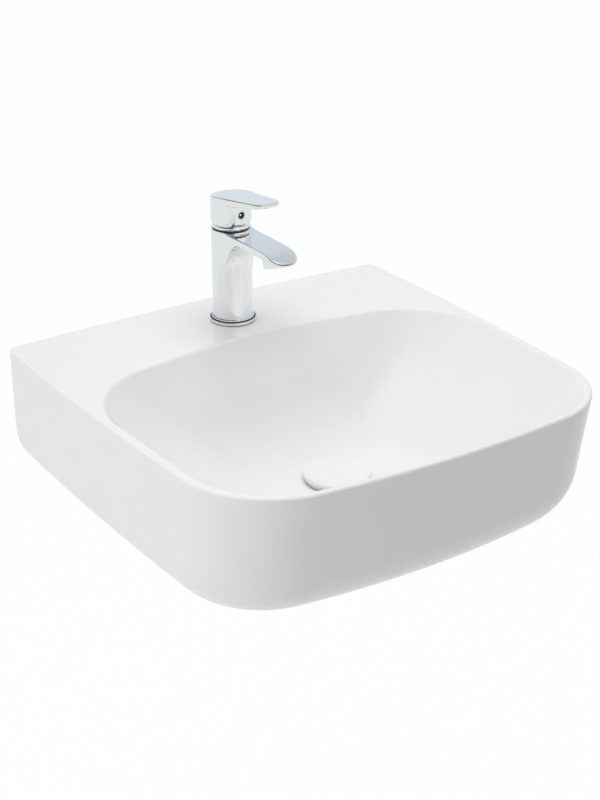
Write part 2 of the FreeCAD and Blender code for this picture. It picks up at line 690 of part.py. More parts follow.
def tapered_plan(root_r, tip_r, tip_reach, bottom, top):
    """An upright block whose plan is a round root on the tap axis and a round tip, joined by tangents."""
    apart = tip_reach - tip_r
    lean = math.asin((root_r - tip_r) / apart)
    root = Vector(root_r * math.cos(lean), -root_r * math.sin(lean), bottom)
    tip = Vector(tip_r * math.cos(lean), -apart - tip_r * math.sin(lean), bottom)
    root_left = Vector(-root.x, root.y, bottom)
    tip_left = Vector(-tip.x, tip.y, bottom)
    outline = Part.Wire([
        Part.Arc(root, Vector(0, root_r, bottom), root_left).toShape(),
        Part.LineSegment(root_left, tip_left).toShape(),
        Part.Arc(tip_left, Vector(0, -tip_reach, bottom), tip).toShape(),
        Part.LineSegment(tip, root).toShape(),
    ])
    return Part.Face(outline).extrude(Vector(0, 0, top - bottom))


def bar(radius, start, end):
    """A round bar from start to end."""
    return Part.makeCylinder(radius, (end - start).Length, start, end - start)


def tap_body_shape():
    """Column and spout in one casting, with the cartridge chamber, inlets, channel and outlet bore."""
    foot = value(FOOT_Z)
    top = value("column_top")
    tip = value("spout_tip")
    floor = value("chamber_floor")
    bend = value("spout_nose_start")
    root = value("column_r")
    start = root / 2
    level = value("spout_arch_end")
    rise = [start + (level - start) * step / ARCH_STEPS for step in range(ARCH_STEPS + 1)]
    runs = (rise, (level, bend), (bend, (bend + tip) / 2, tip))
    lofts = [Part.makeLoft([spout_section(r) for r in run], True, False) for run in runs]
    spout = lofts[0].fuse(lofts[1:])
    spout = spout.common(tapered_plan(value("spout_half_width"), value("spout_tip_r"), tip, 0, top * 2))
    tilt = math.radians(value("outlet_tilt"))
    inward = Vector(0, math.sin(tilt), math.cos(tilt))
    mouth = Vector(0, -value("spout_reach"), value("outlet_z"))
    channel_tip = mouth + inward * (value("channel_tip_z - outlet_z") / inward.z)
    channel_bend = Vector(0, -value("channel_bend"), channel_tip.z)
    channel_r = value("channel_r")
    below = Part.makeBox(2 * tip, 2 * tip, channel_tip.z, Vector(-tip, -2 * tip, 0))
    boss = bar(value("outlet_r"), mouth, mouth + inward * (top - mouth.z)).common(below)
    body = bar(root, Vector(0, 0, foot), Vector(0, 0, top)).fuse([spout, boss]).removeSplitter()
    bore_end = mouth + inward * value("aerator_height + aerator_seal_thick")
    thread_end = foot + value("inlet_thread_deep")
    seat = floor + value("cartridge_height")
    cuts = [
        bar(value("chamber_r"), Vector(0, 0, floor), Vector(0, 0, top + OVERRUN)),
        bar(value("nut_r + thread_gap"), Vector(0, 0, seat), Vector(0, 0, top + OVERRUN)),
        bar(channel_r, Vector(0, 0, value("channel_root_z")), channel_bend),
        Part.makeSphere(channel_r, channel_bend),
        bar(channel_r, channel_bend, channel_tip),
        bar(value("aerator_r + thread_gap"), mouth - inward * OVERRUN, bore_end),
        bar(channel_r * 2, mouth, channel_tip + inward * channel_r),
        bar(value("stud_r + thread_gap"), Vector(0, value("stud_y"), foot - OVERRUN),
            Vector(0, value("stud_y"), foot + value("stud_deep"))),
    ]
    for side in (-1, 1):
        x = side * value("inlet_x")
        y = -value("inlet_y")
        cuts.append(bar(value("inlet_thread_r"), Vector(x, y, foot - OVERRUN), Vector(x, y, thread_end)))
        cuts.append(bar(value("inlet_bore_r"), Vector(x, y, foot), Vector(x, y, floor + OVERRUN)))
    return body.cut(cuts)


keep(formed("TapBody", tap_body_shape(), **on_tap("0")), "tap_body")

# Cartridge, from its seals up
SHELL_IN = "cartridge_r - cartridge_wall"
PORT_FOOT = "chamber_floor + port_seal_proud"
DISC_FOOT = f"{PORT_FOOT} + port_base_thick"
SLIDE_FOOT = f"{DISC_FOOT} + disc_thick"
CARRIER_FOOT = f"{SLIDE_FOOT} + disc_thick"
ROTOR_FOOT = f"{CARRIER_FOOT} + carrier_thick + rotor_gap"
LIP_FOOT = "chamber_floor + cartridge_height - cartridge_lip_thick"
SHELL_TOP = "chamber_floor + cartridge_height"


def at_ports(name, radius, height, foot):
    """Two upright round bars on the inlet ports."""
    return [cylinder(f"{name}{side}", radius, height, **on_tap(foot, x=f"{sign} inlet_x", back="-inlet_y"))
            for side, sign in (("Left", "-"), ("Right", ""))]


shell = turned("CartridgeShellBlank", [
    (SHELL_IN, "0"),
    ("cartridge_r", "0"),
    ("cartridge_r", "cartridge_height"),
    ("cartridge_mouth_r", "cartridge_height"),
    ("cartridge_mouth_r", "cartridge_height - cartridge_lip_thick"),
    (SHELL_IN, "cartridge_height - cartridge_lip_thick"),
], **on_tap("chamber_floor"))
window = box("CartridgeWindow", "window_width", "cartridge_wall * 2", "window_height",
             **on_tap(f"{LIP_FOOT} - window_height", back="cartridge_wall / 2 - cartridge_r"))
keep(cut("CartridgeShell", shell, window), "cartridge_shell")

SEAL_DEEP = "port_seal_thick - port_seal_proud"
base_plate = cylinder("PortPlateBlank", f"{SHELL_IN} - fit_gap", "port_base_thick", **on_tap(PORT_FOOT))
keep(cut("PortPlate", base_plate,
         *at_ports("PortPlateBore", "inlet_bore_r", "port_base_thick", PORT_FOOT),
         *at_ports("PortPlateSeat", "port_seal_r + fit_gap", SEAL_DEEP, PORT_FOOT)),
     "cartridge_port_plate")

seal_blanks = at_ports("PortSealBlank", "port_seal_r", "port_seal_thick", "chamber_floor")
keep(cut("PortSeals", fused("PortSealBlanks", *seal_blanks),
         *at_ports("PortSealBore", "inlet_bore_r", "port_seal_thick", "chamber_floor")),
     "cartridge_port_seals")

keep(cut("FixedDisc",
         cylinder("FixedDiscBlank", f"{SHELL_IN} - fit_gap", "disc_thick", **on_tap(DISC_FOOT)),
         *at_ports("FixedDiscPort", "disc_port_r", "disc_thick", DISC_FOOT)),
     "fixed_disc")

keep(cut("MovingDisc",
         cylinder("MovingDiscBlank", "moving_disc_r", "disc_thick", **on_tap(SLIDE_FOOT)),
         cylinder("MovingDiscPort", "disc_port_r", "disc_thick",
                  **on_tap(SLIDE_FOOT, back="moving_disc_r / 2"))),
     "moving_disc")

keep(turned("DiscCarrier", [
    ("0", "0"),
    ("moving_disc_r", "0"),
    ("moving_disc_r", "carrier_thick"),
    ("carrier_socket_r", "carrier_thick"),
    ("carrier_socket_r", "carrier_thick - carrier_socket_deep"),
    ("0", "carrier_thick - carrier_socket_deep"),
], **on_tap(CARRIER_FOOT)), "disc_carrier")

ROTOR_HEIGHT = f"{LIP_FOOT} - fit_gap - ({ROTOR_FOOT})"
keep(cut("Rotor",
         cylinder("RotorBlank", f"{SHELL_IN} - running_gap", ROTOR_HEIGHT, **on_tap(ROTOR_FOOT)),
         box("RotorSlot", "stem_r * 2 + fit_gap * 2", "rotor_slot", ROTOR_HEIGHT, **on_tap(ROTOR_FOOT)),
         along_x("RotorPinHole", "pin_r", f"({SHELL_IN}) * 2", **on_tap("pivot_z"))),
     "cartridge_rotor")

keep(along_x("PivotPin", "pin_r", f"({SHELL_IN} - pin_inset) * 2", **on_tap("pivot_z")), "pivot_pin")

STEM_FOOT = "pivot_z - pivot_arm"
SQUARE_FOOT = f"{SHELL_TOP} + nut_height + neck_height"
stem_bar = turned("StemBar", [
    ("0", "0"),
    ("stem_foot_r", "0"),
    ("stem_foot_r", "carrier_socket_deep"),
    ("stem_r", "carrier_socket_deep + stem_r - stem_foot_r"),
    ("stem_r", f"{SQUARE_FOOT} - ({STEM_FOOT})"),
    ("0", f"{SQUARE_FOOT} - ({STEM_FOOT})"),
], **on_tap(STEM_FOOT))
stem_end = box("StemSquare", "stem_square", "stem_square", f"stem_top - ({SQUARE_FOOT})",
               **on_tap(SQUARE_FOOT))
keep(cut("Stem", fused("StemBlank", stem_bar, stem_end),
         along_x("StemPinHole", "pin_r + running_gap", "stem_r * 4", **on_tap("pivot_z"))), "lever_stem")

keep(ring("CartridgeNut", "nut_in_r", "nut_r", "nut_height", **on_tap(SHELL_TOP)), "cartridge_nut")

NUT_TOP = f"{SHELL_TOP} + nut_height"
NECK_SPIGOT = f"column_top - ({NUT_TOP})"
keep(turned("NeckRing", [
    ("neck_in_r", "0"),
    ("nut_r", "0"),
    ("nut_r", NECK_SPIGOT),
    ("neck_r", NECK_SPIGOT),
    ("neck_r", f"{NECK_SPIGOT} + neck_side"),
    ("neck_top_r", f"{NECK_SPIGOT} + neck_height", "neck_round_r"),
    ("neck_in_r", f"{NECK_SPIGOT} + neck_height"),
], **on_tap(NUT_TOP)), "neck_ring")


# Handle: a cup over the neck with a flat lever that rises to the front
def lever_top(reach):
    """Height of the handle's sloping top."""
    return value("handle_top") + reach * math.tan(math.radians(value("lever_slope")))


def lever_bottom(reach):
    """Height of the lever's underside: the lever thins towards its tip."""
    root = value("lever_root_thick")
    return lever_top(reach) - root - (value("lever_tip_thick") - root) * reach / value("lever_tip")


def side_slab(lower):
    """All that lies between the handle's sloping top and a line below it, seen from the side."""
    rear = -value("handle_r * 2")
    front = value("lever_tip + handle_r")
    half = value("handle_r * 2")
    outline = [(rear, lower(rear)), (rear, lever_top(rear)),
               (front, lever_top(front)), (front, lower(front))]
    points = [Vector(-half, -reach, z) for reach, z in outline]
    return Part.Face(Part.makePolygon(points + points[:1])).extrude(Vector(2 * half, 0, 0))


def handle_shape():
    """The handle's cup, lever and stem boss in one casting, with the screw and plug holes in front."""
    foot = value("handle_bottom")
    high = value("handle_top * 2")
    outer = value("handle_r")
    waist = foot + value("handle_foot_height")
    inner = value("handle_foot_r - handle_wall")
    roof = foot + value("handle_cup_deep")
    cup = Part.makeCone(value("handle_foot_r"), outer, waist - foot, Vector(0, 0, foot))
    cup = cup.fuse(bar(outer, Vector(0, 0, waist), Vector(0, 0, high)))
    cup = cup.common(side_slab(lambda reach: foot))
    lever = tapered_plan(outer, value("lever_tip_r"), value("lever_tip"), foot, high)
    lever = lever.common(side_slab(lever_bottom))
    handle = cup.fuse(lever).removeSplitter()
    handle = handle.cut(bar(inner, Vector(0, 0, foot - OVERRUN), Vector(0, 0, roof)))
    boss_foot = Vector(0, 0, value("boss_bottom"))
    handle = handle.fuse(bar(value("boss_r"), boss_foot, Vector(0, 0, roof + OVERRUN)))
    side = value("stem_square + fit_gap * 2")
    deep = value("stem_top + fit_gap") - foot
    socket = Part.makeBox(side, side, deep, Vector(-side / 2, -side / 2, foot))
    screw_z = value("screw_z")
    screw = bar(value("screw_r + thread_gap"), Vector(0, 0, screw_z), Vector(0, -inner, screw_z))
    plug_back = Vector(0, -value("boss_r * 2"), screw_z)
    plug = bar(value("plug_r + fit_gap"), plug_back, Vector(0, -outer * 2, screw_z))
    return handle.cut([socket, screw, plug]).removeSplitter()


keep(formed("Handle", handle_shape(), **on_tap("0")), "handle")

keep(to_front(turned("HandleScrew", [
    ("0", "0"),
    ("screw_r", "0"),
    ("screw_r", "screw_length"),
    ("screw_socket_r", "screw_length"),
    ("screw_socket_r", "screw_length / 2"),
    ("0", "screw_length / 2"),
], **on_tap("screw_z", back="-stem_square / 2"))), "handle_screw")

keep(to_front(turned("HandlePlug", [
    ("0", "0"),
    ("plug_r", "0"),
    ("plug_r", "plug_thick"),
    ("plug_dish_r", "plug_thick"),
    ("plug_dish_r", "plug_thick / 2"),
    ("0", "plug_thick / 2"),
], **on_tap("screw_z", back="plug_thick - handle_r"))), "handle_plug")

# Aerator in the spout's outlet, whose axis leans: its mouth points down and to the front
def in_outlet(depth, x="0", back="0"):
    """Position in the outlet: depth up its axis from the mouth, x, and distance behind that axis."""
    lean = "outlet_tilt * 1 deg"
    return {
        "x": x,
        "y": f"{TAP_Y} - spout_reach + ({depth}) * sin({lean}) + ({back}) * cos({lean})",
        "z": f"{DECK_Z} + outlet_z + ({depth}) * cos({lean}) - ({back}) * sin({lean})",
    }


def leaning(thing):
    """Turns an object's own Z axis to the outlet's axis."""
    thing.Placement.Rotation = Rotation(Vector(-1, 0, 0), value("outlet_tilt"))
    return thing


keep(leaning(turned("AeratorHousing", [
    ("aerator_in_r - aerator_lip", "0"),
    ("aerator_r", "0"),
    ("aerator_r", "aerator_height"),
    ("aerator_in_r", "aerator_height"),
    ("aerator_in_r", "aerator_lip"),
    ("aerator_in_r - aerator_lip", "aerator_lip"),
], **in_outlet("0"))), "aerator_housing")

JET_RINGS = ((1, 0), (6, 1), (12, 2))
jets = []
for count, step in JET_RINGS:
    for index in range(count):
        angle = 360 * index / count
        away = f"aerator_jet_pitch * {step} * "
        spot = in_outlet("aerator_lip", x=f"{away} cos({angle} deg)", back=f"{away} sin({angle} deg)")
        jets.append(leaning(cylinder(f"Jet{step}_{index}", "aerator_jet_r", "aerator_insert_thick", **spot)))
insert_blank = cylinder("AeratorInsertBlank", "aerator_in_r - fit_gap", "aerator_insert_thick",
                        **in_outlet("aerator_lip"))
keep(cut("AeratorInsert", leaning(insert_blank), *jets), "aerator_insert")
keep(leaning(ring("AeratorSeal", "aerator_in_r - aerator_lip", "aerator_r - fit_gap", "aerator_seal_thick",
                  **in_outlet("aerator_height"))), "aerator_seal")

# Waste: flange, tail and bridge, then its seals and nut, then the plug
FLANGE_FOOT = "tail_length + flange_seal_thick"
tail = turned("WasteTail", [
    ("tail_in_r", "0"),
    ("tail_r", "0"),
    ("tail_r", "tail_free"),
    ("tail_r - tail_relief_deep", "tail_free"),
    ("tail_r - tail_relief_deep", "tail_free + tail_relief"),
    ("tail_r", "tail_free + tail_relief"),
    ("tail_r", FLANGE_FOOT),
    ("flange_r", FLANGE_FOOT),
    ("flange_r", f"{FLANGE_FOOT} + flange_thick"),
    ("throat_r", f"{FLANGE_FOOT} + flange_thick"),
    ("tail_in_r", "tail_length - throat_deep"),
], **on_waste("-tail_length"))
BAR_LENGTH = "tail_in_r + tail_r"
bars = [
    box("BridgeBarX", BAR_LENGTH, "bridge_width", "bridge_thick", **on_waste("-bridge_z")),
    box("BridgeBarY", "bridge_width", BAR_LENGTH, "bridge_thick", **on_waste("-bridge_z")),
    cylinder("BridgeHub", "hub_r", "bridge_thick", **on_waste("-bridge_z")),
]
keep(cut("WasteBody", fused("WasteBodyBlank", tail, *bars),
         cylinder("HubThread", "spigot_r + thread_gap", "bridge_thick", **on_waste("-bridge_z"))),
     "waste_body")

keep(ring("FlangeSeal", "waste_hole_r", "flange_r - flange_thick", "flange_seal_thick", **on_waste("0")),
     "flange_seal")
WASHER_FOOT = "-bowl_floor_thick - taper_washer_thick"
keep(turned("TaperWasher", [
    ("tail_r + fit_gap", "0"),
    ("taper_washer_r", "0"),
    ("taper_washer_r - taper_washer_thick / 2", "taper_washer_thick"),
    ("tail_r + fit_gap", "taper_washer_thick"),
], **on_waste(WASHER_FOOT)), "taper_washer")
SLIP_FOOT = f"{WASHER_FOOT} - slip_washer_thick"
keep(ring("SlipWasher", "tail_r + fit_gap", "slip_washer_r", "slip_washer_thick", **on_waste(SLIP_FOOT)),
     "slip_washer")
WASTE_NUT_FOOT = f"{SLIP_FOOT} - waste_nut_height"
keep(cut("WasteNut",
         hexagon("WasteNutBlank", "waste_nut_flats", "waste_nut_height", **on_waste(WASTE_NUT_FOOT)),
         cylinder("WasteNutThread", "tail_r + thread_gap", "waste_nut_height", **on_waste(WASTE_NUT_FOOT))),
     "waste_nut")

keep(turned("ClickBarrel", [
    ("0", "0"),
    ("spigot_r", "0"),
    ("spigot_r", "bridge_thick"),
    ("barrel_collar_r", "bridge_thick"),
    ("barrel_collar_r", "bridge_thick + barrel_collar_thick"),
    ("barrel_r", "bridge_thick + barrel_collar_thick"),
    ("barrel_r", "bridge_z - barrel_top"),
    ("barrel_in_r", "bridge_z - barrel_top"),
    ("barrel_in_r", "barrel_floor"),
    ("0", "barrel_floor"),
], **on_waste("-bridge_z")), "click_barrel")

SEAT_Z = "flange_seal_thick + flange_thick"
HOLDER_FOOT = f"{SEAT_Z} + plug_seal_thick"
CAP_ROOF = f"{HOLDER_FOOT} + holder_thick"
COLLAR_FOOT = "plunger_foot - plunger_collar_z"
ROD_TOP = f"plunger_foot + {HOLDER_FOOT}"
keep(turned("Plunger", [
    ("0", "0"),
    ("plunger_r", "0"),
    ("plunger_r", COLLAR_FOOT),
    ("barrel_in_r - running_gap", COLLAR_FOOT),
    ("barrel_in_r - running_gap", f"{COLLAR_FOOT} + plunger_collar_thick"),
    ("plunger_r", f"{COLLAR_FOOT} + plunger_collar_thick"),
    ("plunger_r", ROD_TOP),
    ("0", ROD_TOP),
], **on_waste("-plunger_foot")), "plunger")

SPRING_FOOT = "barrel_floor - bridge_z"
SPRING_RISE = f"-plunger_collar_z - ({SPRING_FOOT}) - spring_wire_r * 2"
coil = doc.addObject("Part::Helix", "SpringCoil")
coil.setExpression("Radius", bound("spring_r"))
coil.setExpression("Height", bound(SPRING_RISE))
coil.setExpression("Pitch", bound(f"({SPRING_RISE}) / spring_turns"))
place(coil, **on_waste(f"{SPRING_FOOT} + spring_wire_r"))
wire = doc.addObject("Part::Circle", "SpringWire")
wire.setExpression("Radius", bound("spring_wire_r"))
place(to_front(wire), x="spring_r", y=WASTE_Y, z=f"{FLOOR_Z} + {SPRING_FOOT} + spring_wire_r")
spring = doc.addObject("Part::Sweep", "Spring")
spring.Sections = [wire]
spring.Spine = (coil, ["Edge1"])
spring.Solid = True
spring.Frenet = True
keep(spring, "click_spring")

keep(ring("PlugSeal", "plug_seal_in_r", "plug_seal_r", "plug_seal_thick", **on_waste(SEAT_Z)), "plug_seal")

keep(turned("PlugHolder", [
    ("plunger_r + thread_gap", "0"),
    ("holder_hub_r", "0"),
    ("holder_hub_r", HOLDER_FOOT),
    ("holder_r", HOLDER_FOOT),
    ("holder_r", CAP_ROOF),
    ("0", CAP_ROOF),
    ("0", HOLDER_FOOT),
    ("plunger_r + thread_gap", HOLDER_FOOT),
], **on_waste("0")), "plug_holder")

CROWN_RISE = "(cap_height - cap_shoulder_z)"
CROWN_R = f"(cap_shoulder_r ^ 2 + {CROWN_RISE} ^ 2) / (2 * {CROWN_RISE})"
keep(turned("PlugCap", [
    ("0", f"{CAP_ROOF} - cap_gap"),
    ("cap_r - cap_skirt", f"{CAP_ROOF} - cap_gap"),
    ("cap_r - cap_skirt", "0"),
    ("cap_r", "0"),
    ("cap_r", "cap_edge_height - cap_gap"),
    ("cap_shoulder_r", "cap_shoulder_z - cap_gap", "cap_round_r"),
    ("0", "cap_height - cap_gap", CROWN_R),
], **on_waste("cap_gap")), "plug_cap")

doc.recompute()

faults = [f"{thing.Name}: {thing.State}" for thing in doc.Objects
          if "Invalid" in thing.State or "Error" in thing.State]
for piece in pieces:
    if piece.Shape.isNull() or not piece.Shape.isValid() or not piece.Shape.Solids:
        faults.append(f"{piece.Label}: no valid solid")
if faults:
    raise SystemExit("\n".join(faults))

os.makedirs("parts", exist_ok=True)
for piece in pieces:
    piece.Shape.exportStep(os.path.join("parts", piece.Label + ".step"))
print(f"{len(pieces)} sub-parts written")
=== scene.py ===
import json
import math

import bmesh
import bpy
import numpy as np
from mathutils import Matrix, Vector


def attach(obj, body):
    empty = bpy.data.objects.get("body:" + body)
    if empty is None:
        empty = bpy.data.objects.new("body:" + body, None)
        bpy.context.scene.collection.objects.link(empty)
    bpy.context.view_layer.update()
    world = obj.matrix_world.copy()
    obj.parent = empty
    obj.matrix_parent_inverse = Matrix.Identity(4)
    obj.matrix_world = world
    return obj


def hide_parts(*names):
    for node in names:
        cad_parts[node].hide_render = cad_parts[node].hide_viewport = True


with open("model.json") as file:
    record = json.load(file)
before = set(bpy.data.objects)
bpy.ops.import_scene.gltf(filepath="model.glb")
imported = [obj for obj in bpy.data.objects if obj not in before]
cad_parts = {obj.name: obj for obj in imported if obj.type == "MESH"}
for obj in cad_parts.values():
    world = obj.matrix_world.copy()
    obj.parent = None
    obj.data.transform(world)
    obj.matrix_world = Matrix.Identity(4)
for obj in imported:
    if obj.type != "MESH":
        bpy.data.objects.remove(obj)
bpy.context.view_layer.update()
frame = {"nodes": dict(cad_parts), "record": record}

# Lengths are in millimetres, as on the bench, and become metres where a mesh is made.
MM = 0.001
WHOLE_TURN = 2 * math.pi
QUARTER_TURN = math.pi / 2

# Basin
RIM_Z = 60
CROWN = 4.4
DECK_Z = RIM_Z + CROWN
HALF_WIDTH = 235
DEPTH = 465
FOOT_Z = -90
LEAN = 26 / 150
SIDE_R = 4100
SIDE_WIDEST = -111
FRONT_R = 950
CORNER_R = 103
REAR_CORNER_R = 5.2
EDGE_R = 3
BOTTOM_R = 60
WALL = 11
REAR_WALL = 14
LAND = 8
ROOF_Z = 48.4
RIM_WIDTH = 5.2
BOWL_REAR = -120
BOWL_REAR_R = 950
BOWL_CORNER_R = 94
BOWL_TOP = 72
BOWL_FLOOR = -44
BOWL_POWER = 2
FLOOR_SHARE = 0.27
FLOOR_THICK = 12
LIP_R = 3
LIP_REAR_R = 6
LIP_CHANGE_Y = -215  # from here to the rear the lip grows to LIP_REAR_R
LIP_CHANGE_RUN = 85
HOLLOW_LEAST = 4  # where the hollow would be narrower than this, its two walls meet
ROOF_LEAST = 1
EVEN_SPAN = 13  # neighbours over which the height of the hollow is evened out
WASTE = complex(0, -270)
WASTE_R = 23
TAP_Y = -69.2
TAP_HOLE_R = 17.5
BOLT_X = 140
BOLT_R = 7
PIPE_HALF = 95
PIPE_TOP = 5
PIPE_CORNER_R = 22
CUT_PAST = 12  # how far a cutting shape reaches past the face that it opens
REAR_CUT_Y = -1.5 * REAR_WALL


class Value:
    """A socket inside a material. Sums, products and the like of it add Math nodes."""

    def __init__(self, look, socket):
        self.look = look
        self.socket = socket

    def maths(self, operation, first, second):
        return self.look.node("ShaderNodeMath", {"operation": operation}, {0: first, 1: second})

    def __add__(self, other):
        return self.maths("ADD", self, other)

    def __radd__(self, other):
        return self.maths("ADD", other, self)

    def __rsub__(self, other):
        return self.maths("SUBTRACT", other, self)

    def __mul__(self, other):
        return self.maths("MULTIPLY", self, other)

    def __rmul__(self, other):
        return self.maths("MULTIPLY", other, self)

    def or_larger(self, other):
        return self.maths("MAXIMUM", self, other)


class Look:
    """A node tree under construction, for a material or for the world."""

    def __init__(self, owner):
        owner.use_nodes = True
        self.owner = owner
        self.tree = owner.node_tree
        self.tree.nodes.clear()

    def node(self, kind, settings, sockets, output=0):
        """Adds one node: first its settings, then the values or links of its sockets."""
        made = self.tree.nodes.new(kind)
        for name, setting in settings.items():
            if name == "stops":
                self.set_stops(made.color_ramp, setting)
            else:
                setattr(made, name, setting)
        for key, given in sockets.items():
            if isinstance(given, Value):
                self.tree.links.new(given.socket, made.inputs[key])
            else:
                made.inputs[key].default_value = given
        return Value(self, made.outputs[output]) if made.outputs else None

    @staticmethod
    def set_stops(ramp, stops):
        while len(ramp.elements) < len(stops):
            ramp.elements.new(0.5)
        for element, (position, colour) in zip(ramp.elements, stops):
            element.position = position
            element.color = (*colour, 1)

    def place(self):
        return self.node("ShaderNodeTexCoord", {}, {}, "Object")

    def noise(self, at, scale, detail=3.0, roughness=0.5):
        return self.node("ShaderNodeTexNoise", {},
                         {"Vector": at, "Scale": scale, "Detail": detail, "Roughness": roughness})

    def between(self, low, high, share):
        """A share of the way from one colour to another. Each is a socket, or red, green and blue."""
        low, high = (given if isinstance(given, Value) else (*given, 1) for given in (low, high))
        return self.node("ShaderNodeMix", {"data_type": "RGBA"}, {0: share, 6: low, 7: high}, 2)

    def fade(self, value, start, end, kind="SMOOTHSTEP"):
        """Grows from 0, where the value is at start, to 1, where it is at end."""
        return self.node("ShaderNodeMapRange", {"interpolation_type": kind},
                         {"Value": value, "From Min": start, "From Max": end})

    def along(self, way, direction):
        return self.node("ShaderNodeVectorMath", {"operation": "DOT_PRODUCT"}, {0: way, 1: direction}, "Value")

    def ray(self, kind):
        """1 on rays of a kind, such as Is Camera Ray, and 0 on others."""
        return self.node("ShaderNodeLightPath", {}, {}, kind)

    def stretch(self, at, scale):
        return self.node("ShaderNodeMapping", {"vector_type": "POINT"}, {"Vector": at, "Scale": scale})

    def bump(self, height, strength, distance):
        return self.node("ShaderNodeBump", {}, {"Height": height, "Strength": strength, "Distance": distance})

    def surface(self, sockets):
        shader = self.node("ShaderNodeBsdfPrincipled", {}, sockets)
        self.node("ShaderNodeOutputMaterial", {}, {"Surface": shader})
        return self.owner


def new_look(name):
    return Look(bpy.data.materials.new(name))


def white_glaze():
    """Fired glaze: a trace of cloudiness in the white, a gloss that varies a little, and a soft ripple."""
    look = new_look("white_glaze")
    at = look.place()
    clouds = look.noise(at, 7.0, 2.0)
    ripple = look.noise(at, 26.0, 1.0)
    grain = look.noise(at, 420.0, 2.0)
    return look.surface({
        "Base Color": look.between((0.835, 0.838, 0.838), (0.865, 0.866, 0.862), clouds),
        "Roughness": 0.05 + 0.05 * clouds + 0.02 * grain,
        "IOR": 1.5,
        "Normal": look.bump(ripple, 0.05, 0.0015),
    })


PLATE_TONE = (0.86, 0.87, 0.875)


def polished_chrome():
    """Bright plate: faint wipe marks change the gloss, and the colour leans to blue in places."""
    look = new_look("polished_chrome")
    at = look.place()
    haze = look.noise(at, 32.0, 3.0)
    wipes = look.noise(look.stretch(at, (260.0, 260.0, 18.0)), 1.0, 3.0)
    return look.surface({
        "Base Color": look.between(PLATE_TONE, (0.9, 0.905, 0.905), haze),
        "Metallic": 1.0,
        "Roughness": 0.025 + 0.02 * haze + 0.02 * wipes,
    })


def turned_brass():
    """Brass off the lathe: fine rings across the axis and a slightly uneven tone."""
    look = new_look("turned_brass")
    at = look.place()
    tone = look.noise(at, 60.0, 3.0)
    rings = look.node("ShaderNodeTexWave", {"wave_type": "BANDS", "bands_direction": "Z"},
                      {"Vector": at, "Scale": 900.0, "Distortion": 0.6, "Detail": 1.0})
    return look.surface({
        "Base Color": look.between((0.56, 0.38, 0.13), (0.7, 0.5, 0.2), tone),
        "Metallic": 1.0,
        "Roughness": 0.2 + 0.12 * rings + 0.08 * tone,
        "Normal": look.bump(rings, 0.12, 0.0002),
    })


def plated_steel():
    """Zinc-plated and stainless steel: drawn lines and a mottled plate."""
    look = new_look("plated_steel")
    at = look.place()
    mottle = look.noise(at, 150.0, 4.0, 0.6)
    lines = look.noise(look.stretch(at, (900.0, 900.0, 60.0)), 1.0, 2.0)
    return look.surface({
        "Base Color": look.between((0.44, 0.45, 0.46), (0.6, 0.6, 0.6), mottle),
        "Metallic": 1.0,
        "Roughness": 0.24 + 0.14 * mottle + 0.1 * lines,
        "Normal": look.bump(lines, 0.1, 0.0002),
    })


def black_rubber():
    """Moulded rubber: matt, faintly dusty, with a fine mould grain."""
    look = new_look("black_rubber")
    at = look.place()
    dust = look.noise(at, 90.0, 4.0, 0.6)
    grain = look.noise(at, 1400.0, 2.0)
    return look.surface({
        "Base Color": look.between((0.012, 0.012, 0.013), (0.035, 0.034, 0.033), dust),
        "Roughness": 0.62 + 0.2 * dust,
        "Normal": look.bump(grain, 0.2, 0.0002),
    })


def moulded_plastic(name, dark, light):
    """Moulded plastic: a soft satin with flow clouds and a fine spark-eroded grain."""
    look = new_look(name)
    at = look.place()
    flow = look.noise(at, 45.0, 2.0)
    grain = look.noise(at, 1100.0, 2.0)
    return look.surface({
        "Base Color": look.between(dark, light, flow),
        "Roughness": 0.36 + 0.14 * flow + 0.06 * grain,
        "Normal": look.bump(grain, 0.12, 0.0002),
    })


def lapped_alumina():
    """Sintered disc ceramic: ivory with fine specks, lapped to a dull shine."""
    look = new_look("lapped_alumina")
    at = look.place()
    specks = look.noise(at, 700.0, 2.0, 0.7)
    tone = look.noise(at, 80.0, 2.0)
    return look.surface({
        "Base Color": look.between((0.74, 0.71, 0.64), (0.85, 0.83, 0.78), 0.5 * specks + 0.5 * tone),
        "Roughness": 0.2 + 0.12 * specks,
    })


def plate_with_painted_shade(name, axes, middle, outer, inner=-1):
    """Bright plate with painted shade: dark and not metallic where its distance from the middle, measured along some
    axes only, lies between two limits in millimetres: a ring round the third axis or, without an inner limit, a line
    across the only one."""
    look = new_look(name)
    at = look.place()
    haze = look.noise(at, 400.0, 3.0)
    level = look.node("ShaderNodeVectorMath", {"operation": "MULTIPLY"}, {0: at, 1: axes})
    centre = [v * MM for v in middle]
    away = look.node("ShaderNodeVectorMath", {"operation": "DISTANCE"}, {0: level, 1: centre}, "Value")
    soft = 0.2
    past = look.fade(away, (inner - soft) * MM, (inner + soft) * MM, "LINEAR")
    within = look.fade(away, (outer + soft) * MM, (outer - soft) * MM, "LINEAR")
    # dark is the painted shade: near black, not metallic and rougher inside the band
    dark = past * within
    return look.surface({
        "Base Color": look.between(PLATE_TONE, (0.02, 0.022, 0.024), dark),
        "Metallic": 1.0 - dark,
        "Roughness": 0.03 + 0.04 * haze + 0.15 * dark,
    })


LOOKS = {
    "glazed_ceramic": white_glaze(),
    "chrome": polished_chrome(),
    "brass": turned_brass(),
    "steel": plated_steel(),
    "rubber": black_rubber(),
    "pale_plastic": moulded_plastic("pale_plastic", (0.6, 0.6, 0.57), (0.7, 0.7, 0.67)),
    "dark_plastic": moulded_plastic("dark_plastic", (0.03, 0.03, 0.033), (0.05, 0.05, 0.053)),
    "alumina": lapped_alumina(),
}
SLOT_OF = {row["node"]: row["material_slot"] for row in frame["record"]["subparts"]}
BODY_OF = {node: body for body, nodes in frame["record"]["behaviour"]["bodies"].items() for node in nodes}


